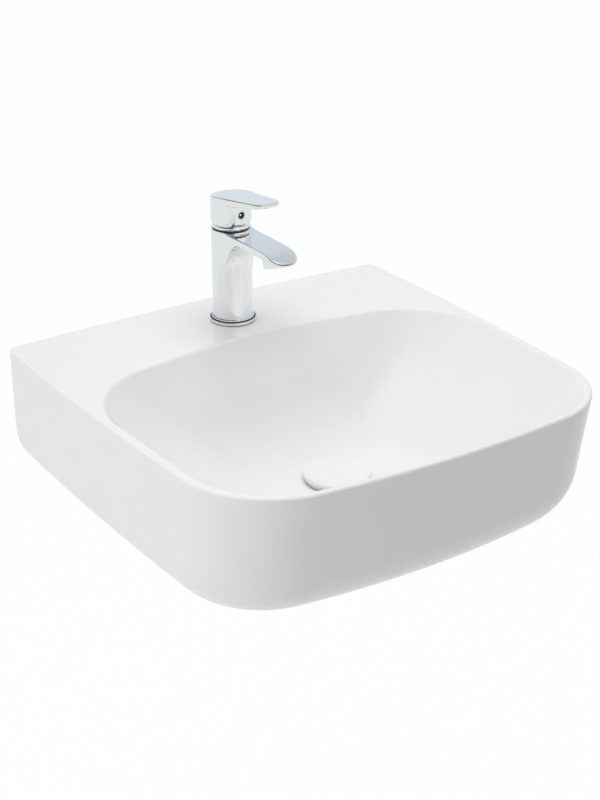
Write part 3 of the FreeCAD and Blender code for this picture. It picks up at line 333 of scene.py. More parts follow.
WELD_DISTANCE = 2e-6
SLIVER_LENGTH = 1e-7


def mesh_of(name, grids):
    """One mesh from grids of points, rows by columns by 3, in millimetres. Every grid closes round its columns, and
    round its rows too if it is marked so. Four neighbours make a face; equal points at poles and seams are merged."""
    points = []
    quads = []
    offset = 0
    for grid, closed in grids:
        rows, columns = grid.shape[:2]
        index = offset + np.arange(rows * columns).reshape(rows, columns)
        if closed:
            index = np.vstack([index, index[:1]])
        beside = np.roll(index, -1, axis=1)
        quads.append(np.stack([index[:-1], beside[:-1], beside[1:], index[1:]], axis=-1).reshape(-1, 4))
        points.append(grid.reshape(-1, 3))
        offset += rows * columns
    points = np.concatenate(points) * MM
    quads = np.concatenate(quads)
    mesh = bpy.data.meshes.new(name)
    mesh.vertices.add(len(points))
    mesh.vertices.foreach_set("co", points.ravel())
    mesh.loops.add(quads.size)
    mesh.loops.foreach_set("vertex_index", quads.ravel())
    mesh.polygons.add(len(quads))
    mesh.polygons.foreach_set("loop_start", np.arange(len(quads)) * 4)
    mesh.update(calc_edges=True)
    weld = bmesh.new()
    weld.from_mesh(mesh)
    bmesh.ops.remove_doubles(weld, verts=weld.verts, dist=WELD_DISTANCE)
    bmesh.ops.dissolve_degenerate(weld, edges=weld.edges, dist=SLIVER_LENGTH)
    bmesh.ops.recalc_face_normals(weld, faces=weld.faces)
    weld.to_mesh(mesh)
    weld.free()
    return mesh


def prism(outline, start, end):
    """A straight bar: the outline (points by 3) carried from start to end, closed at both ends by its middle."""
    middle = np.broadcast_to(outline.mean(axis=0), outline.shape)
    return np.stack([middle + start, outline + start, outline + end, middle + end])


def round_bar(radius, start, end, steps=64):
    """A round bar between two points on one axis, as a grid."""
    start = np.array(start, float)
    end = np.array(end, float)
    turn = np.arange(steps) * WHOLE_TURN / steps
    along = int(np.argmax(np.abs(end - start)))
    outline = np.zeros((steps, 3))
    outline[:, (along + 1) % 3] = radius * np.cos(turn)
    outline[:, (along + 2) % 3] = radius * np.sin(turn)
    return prism(outline, start, end)


def carve(piece, cuts):
    """Adds or takes away closed shapes, one after the other, and keeps the result as the piece's own mesh."""
    for operation, grid in cuts:
        tool = bpy.data.objects.new("tool", mesh_of("tool", [(grid, False)]))
        bpy.context.scene.collection.objects.link(tool)
        cut = piece.modifiers.new("cut", "BOOLEAN")
        cut.operation = operation
        cut.solver = "EXACT"
        cut.object = tool
        shaped = piece.evaluated_get(bpy.context.evaluated_depsgraph_get())
        mesh = bpy.data.meshes.new_from_object(shaped)
        piece.modifiers.clear()
        old = piece.data
        piece.data = mesh
        bpy.data.meshes.remove(old)
        bpy.data.objects.remove(tool)


def finished(node, grids, cuts=(), sharp=38, look=None):
    """A finished piece in the place of a node: meshed, carved, smooth up to the sharp angle, with the node's finish."""
    piece = bpy.data.objects.new(node + "_shape", mesh_of(node + "_shape", grids))
    bpy.context.scene.collection.objects.link(piece)
    carve(piece, cuts)
    piece.data.name = node + "_shape"
    piece.data.polygons.foreach_set("use_smooth", np.ones(len(piece.data.polygons), bool))
    piece.data.set_sharp_from_angle(angle=math.radians(sharp))
    piece.data.materials.clear()
    piece.data.materials.append(look or LOOKS[SLOT_OF[node]])
    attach(piece, BODY_OF[node])
    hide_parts(node)


def part_way(start, end, share):
    return start + (end - start) * share


def eased(share):
    """A share that leaves 0 and reaches 1 gently."""
    return share ** 2 * (3 - 2 * share)


def shares(count, whole=1):
    """Even steps of a whole, without its start: the stretch before has made that point already."""
    return np.linspace(0, whole, count)[1:]


def arc(centre, radius, start, end, steps):
    """Points of an arc in the plan, as complex numbers: the centre plus the radius turned from start to end."""
    return centre + radius * np.exp(1j * np.linspace(start, end, steps))


def heading(start, end):
    """Direction from start to end, from nothing to a whole turn."""
    return np.angle(end - start) % WHOLE_TURN


def touching(first, first_r, second, second_r, radius, near):
    """Centre of the circle of that radius that touches two circles from inside, on the side of near."""
    span = second - first
    apart = abs(span)
    along = ((first_r - radius) ** 2 - (second_r - radius) ** 2 + apart ** 2) / (2 * apart)
    aside = math.sqrt((first_r - radius) ** 2 - along ** 2)
    pair = [first + span / apart * (along + 1j * sign * aside) for sign in (1, -1)]
    return min(pair, key=lambda centre: abs(centre - near))


def left_front(set_back, inset):
    """Circles of the left side, the left front corner and the front, drawn in by inset."""
    side = complex(SIDE_R - HALF_WIDTH, SIDE_WIDEST)
    front = complex(0, FRONT_R - DEPTH + set_back)
    corner = touching(side, SIDE_R - inset, front, FRONT_R - inset, CORNER_R - inset,
                      complex(-2 * HALF_WIDTH, -DEPTH))
    return side, corner, front


def both_halves(left):
    """A whole outline from its left half, mirrored in the middle line."""
    return np.concatenate([left, -np.conj(left[-2:0:-1])])


def skirt_outline(set_back=0.0, inset=0.0, rear=0.0):
    """The basin's outline: wall line, rear corner, side, front corner and front, each an arc that touches the next."""
    side, corner, front = left_front(set_back, inset)
    side_r = SIDE_R - inset - REAR_CORNER_R
    up = rear - REAR_CORNER_R
    turn = complex(side.real - math.sqrt(side_r ** 2 - (up - side.imag) ** 2), up)
    along_wall = np.linspace(0, turn.real, 46) + 1j * rear
    side_start = heading(side, turn)
    side_end = heading(side, corner)
    corner_end = heading(front, corner)
    return both_halves(np.concatenate([
        along_wall[:-1],
        arc(turn, REAR_CORNER_R, math.pi / 2, side_start, 12),
        arc(side, SIDE_R - inset, side_start, side_end, 62)[1:],
        arc(corner, CORNER_R - inset, side_end, corner_end, 56)[1:],
        arc(front, FRONT_R - inset, corner_end, 1.5 * math.pi, 48)[1:],
    ]))


def bowl_outline():
    """The bowl's outline level with the top of the deck: four shallow arcs joined by four tight ones."""
    side, corner, front = left_front(0, RIM_WIDTH)
    rear = complex(0, BOWL_REAR - BOWL_REAR_R)
    turn = touching(side, SIDE_R - RIM_WIDTH, rear, BOWL_REAR_R, BOWL_CORNER_R, complex(-2 * HALF_WIDTH, 0))
    rear_end = heading(rear, turn)
    side_start = heading(side, turn)
    side_end = heading(side, corner)
    corner_end = heading(front, corner)
    return both_halves(np.concatenate([
        arc(rear, BOWL_REAR_R, math.pi / 2, rear_end, 80),
        arc(turn, BOWL_CORNER_R, rear_end, side_start, 80)[1:],
        arc(side, SIDE_R - RIM_WIDTH, side_start, side_end, 80)[1:],
        arc(corner, CORNER_R - RIM_WIDTH, side_end, corner_end, 80)[1:],
        arc(front, FRONT_R - RIM_WIDTH, corner_end, 1.5 * math.pi, 80)[1:],
    ]))


def polar(outline, angle, about=0j):
    """Distance from the middle to an outline in each direction."""
    away = outline - about
    return np.interp(angle, np.angle(away), np.abs(away), period=WHOLE_TURN)


def deck_height(x):
    """The crowned top: an arc across the basin."""
    radius = (HALF_WIDTH ** 2 + CROWN ** 2) / (2 * CROWN)
    return DECK_Z - radius + np.sqrt(radius ** 2 - np.minimum(np.abs(x), HALF_WIDTH) ** 2)


def bowl_share(z, drop):
    """How wide the bowl is at height z, as a share of its outline at the top of the deck: the floor's share, and the
    rest times a root of the height above the floor."""
    rise = np.clip(1 - (BOWL_TOP - z) / drop, 0, 1) * (BOWL_TOP - BOWL_FLOOR) / (DECK_Z - BOWL_FLOOR)
    return FLOOR_SHARE + (1 - FLOOR_SHARE) * rise ** (1 / BOWL_POWER)


def basin_grid():
    """The basin as rings round the waste, each a radius and a height in every direction: up the bowl from the waste
    hole, over the lip, across the deck, round the edge, down the skirt, under the foot, up the hollow and back."""
    angle = np.unwrap(np.angle(skirt_outline() - WASTE))
    across = np.cos(angle)
    mouth = polar(bowl_outline(), angle, WASTE)
    drop = BOWL_TOP - BOWL_FLOOR
    depth = DECK_Z - BOWL_FLOOR
    rings = []

    def add(radius, z):
        """One more ring. A plain number holds in every direction."""
        rings.append((radius + 0 * angle, z + 0 * angle))

    # Where the bowl's wall meets the deck, and the directions in which both leave that line
    meet_z = RIM_Z + 0 * angle
    for _ in range(8):
        meet_z = deck_height(bowl_share(meet_z, drop) * mouth * across)
    meet_r = bowl_share(meet_z, drop) * mouth

    def wall_lean(z):
        """How fast the bowl widens with height."""
        return mouth * (1 - FLOOR_SHARE) / BOWL_POWER / depth * ((z - BOWL_FLOOR) / depth) ** (1 / BOWL_POWER - 1)

    def deck_lean(radius):
        """How far the deck rises over a millimetre outwards."""
        return deck_height((radius + 0.5) * across) - deck_height((radius - 0.5) * across)

    meet_y = WASTE.imag + meet_r * np.sin(angle)
    at_deck = np.clip((meet_y - LIP_CHANGE_Y) / LIP_CHANGE_RUN, 0, 1)
    lip = part_way(LIP_R, LIP_REAR_R, eased(at_deck))
    lean = wall_lean(meet_z)
    cosine = -(lean + deck_lean(meet_r)) / np.hypot(lean, 1) / np.hypot(1, deck_lean(meet_r))
    inner = np.arccos(np.clip(cosine, -1, 1))
    run = lip / np.tan(inner / 2)
    pull = 4 / 3 * np.tan((math.pi - inner) / 4) * lip
    foot_z = meet_z - run / np.hypot(lean, 1)
    foot_r = bowl_share(foot_z, drop) * mouth
    foot_lean = wall_lean(foot_z)
    end_r = meet_r + run
    end_z = deck_height(end_r * across)

    # Bowl: flat round the waste, then rising with a power of the distance from the flat
    for step in np.linspace(0, 1, 72)[:-1]:
        radius = part_way(WASTE_R, foot_r, step)
        reach = np.maximum(radius / mouth - FLOOR_SHARE, 0) / (1 - FLOOR_SHARE)
        add(radius, BOWL_FLOOR + depth * reach ** BOWL_POWER)

    # Lip: a cubic curve that leaves the wall and reaches the deck along their own directions
    for step in np.linspace(0, 1, 13):
        a, b, c, d = (1 - step) ** 3, 3 * step * (1 - step) ** 2, 3 * step ** 2 * (1 - step), step ** 3
        up = pull / np.hypot(foot_lean, 1)
        add(a * foot_r + b * (foot_r + up * foot_lean) + c * (end_r - pull) + d * end_r,
            a * foot_z + b * (foot_z + up) + c * (end_z - pull * deck_lean(end_r)) + d * end_z)

    # Deck, then the quarter round of its outer edge
    edge_r = polar(skirt_outline(0, EDGE_R, -EDGE_R), angle, WASTE)
    for step in shares(13):
        radius = part_way(end_r, edge_r, step)
        add(radius, deck_height(radius * across))
    for turn in shares(9, QUARTER_TURN):
        inset = EDGE_R * (1 - math.sin(turn))
        radius = polar(skirt_outline(0, inset, -inset), angle, WASTE)
        add(radius, deck_height(radius * across) - EDGE_R * (1 - math.cos(turn)))

    # Skirt, bottom rounding and foot
    def outer(z, inset, rear):
        """The skirt's outline at a height, drawn in by inset, with its wall line at rear."""
        return polar(skirt_outline(LEAN * (RIM_Z - z), inset, rear), angle, WASTE)

    low = FOOT_Z + BOTTOM_R
    high_r, high_z = rings[-1]
    low_r = outer(low, 0, 0)
    for step in shares(9):
        add(part_way(high_r, low_r, step), part_way(high_z, low, step))
    for turn in shares(15, QUARTER_TURN):
        z = FOOT_Z + BOTTOM_R * (1 - math.sin(turn))
        add(outer(z, BOTTOM_R * (1 - math.cos(turn)), 0), z)
    land_r = outer(FOOT_Z, BOTTOM_R + LAND, -REAR_WALL)
    add(land_r, FOOT_Z)
    add(land_r, FOOT_Z + WALL)

    # Hollow: rounded foot, outer wall up to the roof or to where the bowl's outside closes it, and down that outside
    def outside(z):
        """The bowl's outside at a height."""
        return bowl_share(z, drop + FLOOR_THICK) * mouth + WALL

    round_r = BOTTOM_R - WALL
    for turn in np.linspace(QUARTER_TURN, 0, 10):
        z = FOOT_Z + WALL + round_r * (1 - math.sin(turn))
        add(outer(z, WALL + round_r * (1 - math.cos(turn)), -REAR_WALL), z)
    levels = np.linspace(low, ROOF_Z, 40)
    shut = np.stack([outer(z, WALL, -REAR_WALL) - outside(z) for z in levels]) < HOLLOW_LEAST
    top_z = np.where(shut.any(axis=0), levels[np.maximum(shut.argmax(axis=0) - 1, 0)], ROOF_Z)
    top_z = np.convolve(np.pad(top_z, EVEN_SPAN // 2, mode="wrap"), np.ones(EVEN_SPAN) / EVEN_SPAN, mode="valid")
    hollow_low = outer(low, WALL, -REAR_WALL)
    hollow_high = outer(ROOF_Z, WALL, -REAR_WALL)
    hollow_top = part_way(hollow_low, hollow_high, (top_z - low) / (ROOF_Z - low))
    for step in shares(9):
        add(part_way(hollow_low, hollow_top, step), part_way(low, top_z, step))
    outside_top = np.minimum(outside(top_z), hollow_top - ROOF_LEAST)
    for step in shares(5):
        add(part_way(hollow_top, outside_top, step), top_z)
    under = BOWL_FLOOR - FLOOR_THICK
    for turn in shares(25, QUARTER_TURN):
        z = part_way(top_z, under, math.sin(turn))
        add(np.minimum(outside(z), outside_top), z)
    floor_r = rings[-1][0]
    for step in shares(5):
        add(part_way(floor_r, WASTE_R, step), under)
    add(WASTE_R, (under + BOWL_FLOOR) / 2)

    radius = np.stack([r for r, _ in rings])
    z = np.stack([h for _, h in rings])
    return np.stack([WASTE.real + radius * across, WASTE.imag + radius * np.sin(angle), z], axis=-1)


def pipe_gap_outline():
    """The pipe opening seen from the wall: a tall slot with rounded upper corners."""
    corner = complex(PIPE_HALF - PIPE_CORNER_R, PIPE_TOP - PIPE_CORNER_R)
    left = arc(-corner.conjugate(), PIPE_CORNER_R, math.pi, QUARTER_TURN, 12)
    right = arc(corner, PIPE_CORNER_R, QUARTER_TURN, 0, 12)
    low = FOOT_Z - CUT_PAST
    plan = np.concatenate([left, right, [complex(PIPE_HALF, low), complex(-PIPE_HALF, low)]])
    return np.stack([plan.real, 0 * plan.real, plan.imag], axis=-1)


finished("basin", [(basin_grid(), True)], cuts=[
    ("DIFFERENCE", round_bar(TAP_HOLE_R, (0, TAP_Y, ROOF_Z - CUT_PAST), (0, TAP_Y, DECK_Z + CUT_PAST))),
    ("DIFFERENCE", prism(pipe_gap_outline(), np.array([0, REAR_CUT_Y, 0]), np.array([0, CUT_PAST, 0]))),
    *[("DIFFERENCE", round_bar(BOLT_R, (x, CUT_PAST, 0), (x, REAR_CUT_Y, 0))) for x in (-BOLT_X, BOLT_X)],
])


def rounded(corners, steps=7):
    """A profile with its corners rounded: each corner is (radius, height, rounding), and its rounding is the arc that
    touches both neighbours' lines."""
    points = [complex(r, z) for r, z, _ in corners]
    out = []
    for here, (_, _, size) in enumerate(corners):
        corner = points[here]
        if size == 0:
            out.append(np.array([corner]))
            continue
        back = points[here - 1] - corner
        ahead = points[(here + 1) % len(points)] - corner
        back /= abs(back)
        ahead /= abs(ahead)
        half = abs(np.angle(ahead / back)) / 2
        start = corner + back * size / math.tan(half)
        middle = corner + (back + ahead) / abs(back + ahead) * size / math.sin(half)
        sweep = np.angle((corner + ahead * size / math.tan(half) - middle) / (start - middle))
        out.append(middle + (start - middle) * np.exp(1j * np.linspace(0, sweep, steps)))
    return np.concatenate(out)


def turned(profile, axis, base, steps=192):
    """A profile (complex: radius and height) carried once round an upright axis."""
    turn = np.arange(steps) * WHOLE_TURN / steps
    radius = profile.real[:, None]
    return np.stack([axis.real + radius * np.cos(turn), axis.imag + radius * np.sin(turn),
                     base + profile.imag[:, None] + 0 * turn], axis=-1)


# Tap. Heights are above the top of the deck.
TAP = complex(0, TAP_Y)

# Foot ring: a broad base, a step with a painted shade line, and a seat for the column
FOOT_BORE_R = 15.5
FOOT_R = 25.2
FOOT_COLLAR_R = 23.2
FOOT_COLLAR_TOP_R = 22.9
FOOT_SEAT_R = 21.6
FOOT_BASE_Z = 1
FOOT_SEAT_Z = 3
FOOT_STEP_Z = 4.3
FOOT_TOP_Z = 6.5
FOOT_SHADE_LINE_Z = 4.7
FOOT_SHADE_LINE_HALF = 0.6

finished("tap_foot_ring", [(turned(rounded([
    (FOOT_BORE_R, FOOT_BASE_Z, 0.2), (FOOT_R, FOOT_BASE_Z, 0.5), (FOOT_R, FOOT_STEP_Z, 0.9),
    (FOOT_COLLAR_R, FOOT_STEP_Z, 0.3), (FOOT_COLLAR_TOP_R, FOOT_TOP_Z, 0.8), (FOOT_SEAT_R, FOOT_TOP_Z, 0.1),
    (FOOT_SEAT_R, FOOT_SEAT_Z, 0.2), (FOOT_BORE_R, FOOT_SEAT_Z, 0.2),
]), TAP, DECK_Z), True)],
    look=plate_with_painted_shade("foot_plate_painted_shade", (0, 0, 1), (0, 0, DECK_Z + FOOT_SHADE_LINE_Z), FOOT_SHADE_LINE_HALF))

# Neck ring: a groove over the column with painted shade in it, a lip, and a bulge that ends inside the handle
NECK_BORE_R = 17.4
NECK_GROOVE_R = 18.55
NECK_LIP_R = 19.5
NECK_R = 20.6
NECK_BASE_Z = 104
NECK_GROOVE_Z = 104.8
NECK_LIP_Z = 105.7
NECK_EDGE_Z = 105.9
NECK_BULGE_R = 5
NECK_BULGE_Z = 107.4
NECK_BULGE_END = math.radians(59)
NECK_TOP_R = 18.175
NECK_TOP_Z = 110.4
NECK_SHADE_LINE_Z = 104.9
NECK_SHADE_LINE_HALF = 1.1

finished("neck_ring", [(turned(np.concatenate([
    rounded([(NECK_BORE_R, NECK_BASE_Z, 0.2), (NECK_GROOVE_R, NECK_BASE_Z, 0.15), (NECK_GROOVE_R, NECK_GROOVE_Z, 0),
             (NECK_LIP_R, NECK_GROOVE_Z, 0), (NECK_LIP_R, NECK_LIP_Z, 0.3), (NECK_R, NECK_EDGE_Z, 0.35)]),
    arc(complex(NECK_R - NECK_BULGE_R, NECK_BULGE_Z), NECK_BULGE_R, 0, NECK_BULGE_END, 14),
    rounded([(NECK_TOP_R, NECK_TOP_Z, 0), (NECK_BORE_R, NECK_TOP_Z, 0)]),
]), TAP, DECK_Z), True)],
    look=plate_with_painted_shade("neck_plate_painted_shade", (0, 0, 1), (0, 0, DECK_Z + NECK_SHADE_LINE_Z), NECK_SHADE_LINE_HALF))

# Cap of the waste: a shallow dome on a rim. Heights are above the bowl's floor.
CAP_R = 35
CAP_RECESS_R = 32.4
CAP_RIM_Z = 1.2
CAP_RECESS_Z = 7
CAP_EDGE_R = 4
CAP_EDGE_Z = 5.4
CAP_EDGE_END = math.radians(70)
CAP_DOME_R = 31.4
CAP_DOME_RISE = 2.4
CAP_TOP_Z = 11.6

to_middle = np.linspace(1, 0, 22)
finished("plug_cap", [(turned(np.concatenate([
    rounded([(0, CAP_RECESS_Z, 0), (CAP_RECESS_R, CAP_RECESS_Z, 0.8), (CAP_RECESS_R, CAP_RIM_Z, 0.7),
             (CAP_R, CAP_RIM_Z, 0.8)]),
    arc(complex(CAP_R - CAP_EDGE_R, CAP_EDGE_Z), CAP_EDGE_R, 0, CAP_EDGE_END, 12),
    CAP_DOME_R * to_middle + 1j * (CAP_TOP_Z - CAP_DOME_RISE * to_middle ** 2),
]), WASTE, BOWL_FLOOR), False)])


def smooth_larger(first, second, width):
    """The larger of two, rounded where they are closer than width: the larger plus a parabola of the overlap."""
    close = np.maximum(width - np.abs(first - second), 0) / width
    return np.maximum(first, second) + close ** 2 * width / 4


def tapered_plan(root_r, tip_r, tip_reach):
    """A round root and a round tip joined by their common tangents, with the tip along the real axis."""
    apart = tip_reach - tip_r
    lean = math.asin((root_r - tip_r) / apart)
    side = QUARTER_TURN - lean
    top_line = np.linspace(root_r * np.exp(1j * side), apart + tip_r * np.exp(1j * side), 60)
    upper = np.concatenate([
        arc(apart, tip_r, 0, side, 60), top_line[::-1][1:], arc(0, root_r, side, math.pi, 60)[1:]])
    return np.concatenate([upper, np.conj(upper[-2:0:-1])])


def bend(before, corner, after, steps):
    """Points on the curve from before to after that a corner pulls towards itself (a parabola), without the first."""
    return [(1 - s) ** 2 * before + 2 * s * (1 - s) * corner + s ** 2 * after for s in shares(steps)]


def rounded_over(edge, wide, deep, reach, top):
    """Rows that round a top over into its side: in every direction a quarter of an ellipse, wide by deep."""
    rows = []
    for turn in shares(13, QUARTER_TURN):
        radius = edge - wide * (1 - math.sin(turn))
        rows.append(radius + 1j * (top(radius * reach) - deep * (1 - math.cos(turn))))
    return rows


def swung(rows, angle):
    """Rows of (radius, height) in every direction round the tap's axis, as points."""
    radius = np.stack([row.real for row in rows])
    z = np.stack([row.imag for row in rows])
    return np.stack([TAP.real + radius * np.sin(angle), TAP.imag - radius * np.cos(angle), DECK_Z + z], axis=-1)


CROWDING = 0.72


def directions(steps):
    """Directions round the tap's axis, closer together towards the front where the spout and lever lie."""
    even = np.linspace(-math.pi, math.pi, steps, endpoint=False)
    return even - CROWDING * np.sin(even)


# Column, with the chamber for the cartridge and the seat of the neck ring
COLUMN_R = 21.5
COLUMN_TOP = 104.8
COLUMN_FOOT = FOOT_SEAT_Z
COLUMN_CHAMFER = 0.4
CHAMBER_R = 17.6
CHAMBER_FLOOR = 57.6
SEAT_R = 18.6
SEAT_FLOOR = 95
SEAT_CHAMFER = 0.2
INLET_R = 4.46
INLET_X = 6.5
INLET_Y = TAP_Y - 4
INLET_DEEP = 15

# Spout
SPOUT_HALF = 18
SPOUT_TIP = 114.5
SPOUT_TIP_R = 16.5
SPOUT_BLEND = 3.4
NOSE_START = 80
NOSE_TOP = 97
UNDER_Z = 94.5
UNDER_LOWEST = 22
ARCH_Z = 78
ARCH_END = 40
BELLY = 3.5
SIDE_LEAST = 0.8

# Roundings between top and side, width and depth: small on the column, full where the side stands far enough off it
COLUMN_EDGE_WIDE = 0.6
COLUMN_EDGE_DEEP = 0.45
SPOUT_EDGE_WIDE = 3.8
SPOUT_EDGE_DEEP = 1.6
SPOUT_EDGE_STAND = 12

# Curl of the side under the spout and fairing of the underside into the column; more of both near the column
NEAR_RUN = 4
CURL_UP = 2.6
CURL_UP_NEAR = 12
CURL_UP_SHARE = 0.7
CURL_IN = 3
CURL_IN_SHARE = 0.4
FAIR_OUT = 7
FAIR_OUT_SHARE = 0.45
FAIR_DOWN = 9
FAIR_DOWN_NEAR = 8
FAIR_LOWEST = 4.5

# Outlet
MOUTH_REACH = 90
MOUTH_Z = 87
MOUTH_TILT = math.radians(15)
OUTLET_R = 13.6
OUTLET_EDGE = 0.6
OUTLET_SINK = 0.9
FLARE = 1.0
FLARE_FRONT = 2.0
FLARE_RUN = 6
BORE_R = 12.05
BORE_DEEP = 7.5
BORE_PAST = 2


def spout_top(reach):
    """Height of the spout's top: level, then bent down towards the tip as the square of the way past the bend."""
    past = np.clip((reach - NOSE_START) / (SPOUT_TIP - NOSE_START), 0, None)
    return COLUMN_TOP - (COLUMN_TOP - NOSE_TOP) * past ** 2


def spout_under(reach, across):
    """Height of the spout's underside: an arch that rises from the column as a square, and a little to its sides."""
    left = np.clip((ARCH_END - reach) / (ARCH_END - COLUMN_R), 0, None)
    return UNDER_Z - (UNDER_Z - ARCH_Z) * left ** 2 + BELLY * (across / SPOUT_HALF) ** 2


def tap_body_grid():
    """Column and spout as profiles in every direction round the column: chamber, top, shoulder, side, underside, foot.
    The side curls under the spout and the underside fairs into the column, both ever more softly as the spout's
    side dies out on the column."""
    angle = directions(360)
    reach = np.cos(angle)
    across = np.sin(angle)
    plan = polar(tapered_plan(SPOUT_HALF, SPOUT_TIP_R, SPOUT_TIP), angle)
    edge = smooth_larger(COLUMN_R + 0 * angle, plan, SPOUT_BLEND)
    stand = edge - COLUMN_R
    near = np.exp(-(stand / NEAR_RUN) ** 2)
    full = eased(np.clip(stand / SPOUT_EDGE_STAND, 0, 1))
    wide = part_way(COLUMN_EDGE_WIDE, SPOUT_EDGE_WIDE, full)
    deep = part_way(COLUMN_EDGE_DEEP, SPOUT_EDGE_DEEP, full)
    chamber = [complex(0, CHAMBER_FLOOR), complex(CHAMBER_R, CHAMBER_FLOOR), complex(CHAMBER_R, SEAT_FLOOR),
               complex(SEAT_R, SEAT_FLOOR), complex(SEAT_R, COLUMN_TOP - SEAT_CHAMFER)]
    rows = [point + 0 * angle for point in chamber]
    for step in np.linspace(0, 1, 26):
        radius = part_way(SEAT_R + SEAT_CHAMFER, edge - wide, step)
        rows.append(radius + 1j * spout_top(radius * reach))
    rows += rounded_over(edge, wide, deep, reach, spout_top)

    def under(radius):
        """The underside at a radius, as a row."""
        return radius + 1j * np.maximum(spout_under(radius * reach, radius * across), UNDER_LOWEST)

    side_top = rows[-1].imag
    corner = edge + 1j * np.minimum(under(edge).imag, side_top - SIDE_LEAST)
    curl = np.minimum(CURL_UP + CURL_UP_NEAR * near, CURL_UP_SHARE * (side_top - corner.imag))
    for step in shares(9):
        rows.append(edge + 1j * part_way(side_top, corner.imag + curl, step))
    inward = edge - np.minimum(CURL_IN, CURL_IN_SHARE * stand)
    rows += bend(rows[-1], corner, under(inward), 9)
    root = COLUMN_R + np.minimum(FAIR_OUT, FAIR_OUT_SHARE * stand)
    for step in shares(26):
        rows.append(under(part_way(inward, root, step)))
    join = under(COLUMN_R + 0 * angle)
    foot = COLUMN_R + 1j * np.maximum(join.imag - FAIR_DOWN - FAIR_DOWN_NEAR * near, FAIR_LOWEST)
    rows += bend(rows[-1], join, foot, 12)
    for step in shares(14):
        rows.append(COLUMN_R + 1j * part_way(foot.imag, COLUMN_FOOT + COLUMN_CHAMFER, step))
    rows += [complex(COLUMN_R - COLUMN_CHAMFER, COLUMN_FOOT) + 0 * angle, complex(0, COLUMN_FOOT) + 0 * angle]
    return swung(rows, angle)


def leaning(grid):
    """A grid round an upright axis, tilted about the middle of the outlet's mouth until that points to the front."""
    x, y, z = np.moveaxis(grid, -1, 0)
    return np.stack([x, TAP_Y - MOUTH_REACH + y * math.cos(MOUTH_TILT) + z * math.sin(MOUTH_TILT),
                     DECK_Z + MOUTH_Z - y * math.sin(MOUTH_TILT) + z * math.cos(MOUTH_TILT)], axis=-1)


def outlet_boss_grid():
    """The outlet's boss: round at the mouth, and as high in each direction as the underside is there, into which it
    flares out as the square of the way up."""
    turn = np.arange(128) * WHOLE_TURN / 128
    away = OUTLET_R * np.sin(turn)
    height = (UNDER_Z - MOUTH_Z + BELLY * (OUTLET_R * np.cos(turn) / SPOUT_HALF) ** 2
              + away * math.sin(MOUTH_TILT)) / math.cos(MOUTH_TILT) + OUTLET_SINK
    flare = FLARE + FLARE_FRONT * np.clip(away / OUTLET_R, 0, 1)
    edge_middle = 0.3 * OUTLET_EDGE
    mouth = [complex(0, 0), complex(OUTLET_R - OUTLET_EDGE, 0), complex(OUTLET_R - edge_middle, edge_middle),
             complex(OUTLET_R, OUTLET_EDGE)]
    rows = [point + 0 * turn for point in mouth]
    for step in shares(16):
        up = np.clip((step * height - height + FLARE_RUN) / FLARE_RUN, 0, 1)
        rows.append(OUTLET_R + flare * up ** 2 + 1j * part_way(OUTLET_EDGE, height, step))
    rows.append(1j * height)
    radius = np.stack([row.real for row in rows])
    z = np.stack([row.imag for row in rows])
    return leaning(np.stack([radius * np.cos(turn), radius * np.sin(turn), z], axis=-1))


finished("tap_body", [(tap_body_grid(), False)], cuts=[
    ("UNION", outlet_boss_grid()),
    ("DIFFERENCE", leaning(round_bar(BORE_R, (0, 0, -BORE_PAST), (0, 0, BORE_DEEP), 96))),
    *[("DIFFERENCE", round_bar(INLET_R, (x, INLET_Y, DECK_Z - BORE_PAST), (x, INLET_Y, DECK_Z + INLET_DEEP), 48))
      for x in (-INLET_X, INLET_X)],
], sharp=34)

# Handle: a cup over the cartridge with a boss for its stem, and the lever
HANDLE_R = 21.6
HANDLE_FOOT = 111.4
HANDLE_FOOT_R = 21.2
HANDLE_TOP = 141.5
HANDLE_WAIST = HANDLE_FOOT + 3.2
CUP_R = 19.3
CUP_TOP = 128.4
BOSS_R = 8
BOSS_FOOT = 116.5
LEVER_RISE = math.tan(math.radians(7.3))
LEVER_TIP = 82
LEVER_TIP_R = 15.5
LEVER_THICK = 8
LEVER_THINNER = 3.8
HANDLE_EDGE_WIDE = 1.5
HANDLE_EDGE_DEEP = 0.7
LEVER_EDGE_WIDE = 3.9
LEVER_EDGE_DEEP = 1.4
LEVER_EDGE_STAND = 14
LEVER_CURL = 1.6
LEVER_CURL_SHARE = 0.3
LEVER_CURL_IN = 1.3
LEVER_FAIR_OUT = 3
LEVER_FAIR_SHARE = 0.3
LEVER_FAIR_DOWN = 4
LEVER_FAIR_STAND = 6

# Cover plug of the handle's screw, measured from the tap's axis to the front
PLUG_Z = 123.2
PLUG_HOLE_R = 4.32
PLUG_HOLE_BACK = 16
PLUG_HOLE_FRONT = 25
PLUG_R = 4.2
PLUG_BACK = 18.4
PLUG_FRONT = 21.4
PLUG_RIM_R = 3.1
PLUG_SLOPE = [complex(2.7, 20.8), complex(2.4, 20.2)]
PLUG_DISH_R = 2.3
PLUG_DISH_FLOOR = 19.6
PLUG_DISH_RISE = 0.5
# Between these radii round the plug's axis, its face carries a painted shade ring over the recess
PLUG_SHADE_RING_INNER = 1.0
PLUG_SHADE_RING_OUTER = 3.6


def lever_top(reach):
    """Height of the handle's top: a plane that rises to the front."""
    return HANDLE_TOP + reach * LEVER_RISE


def lever_under(reach):
    """Height of the lever's underside: its thickness falls in a straight line from root to tip."""
    return lever_top(reach) - LEVER_THICK + LEVER_THINNER * reach / LEVER_TIP


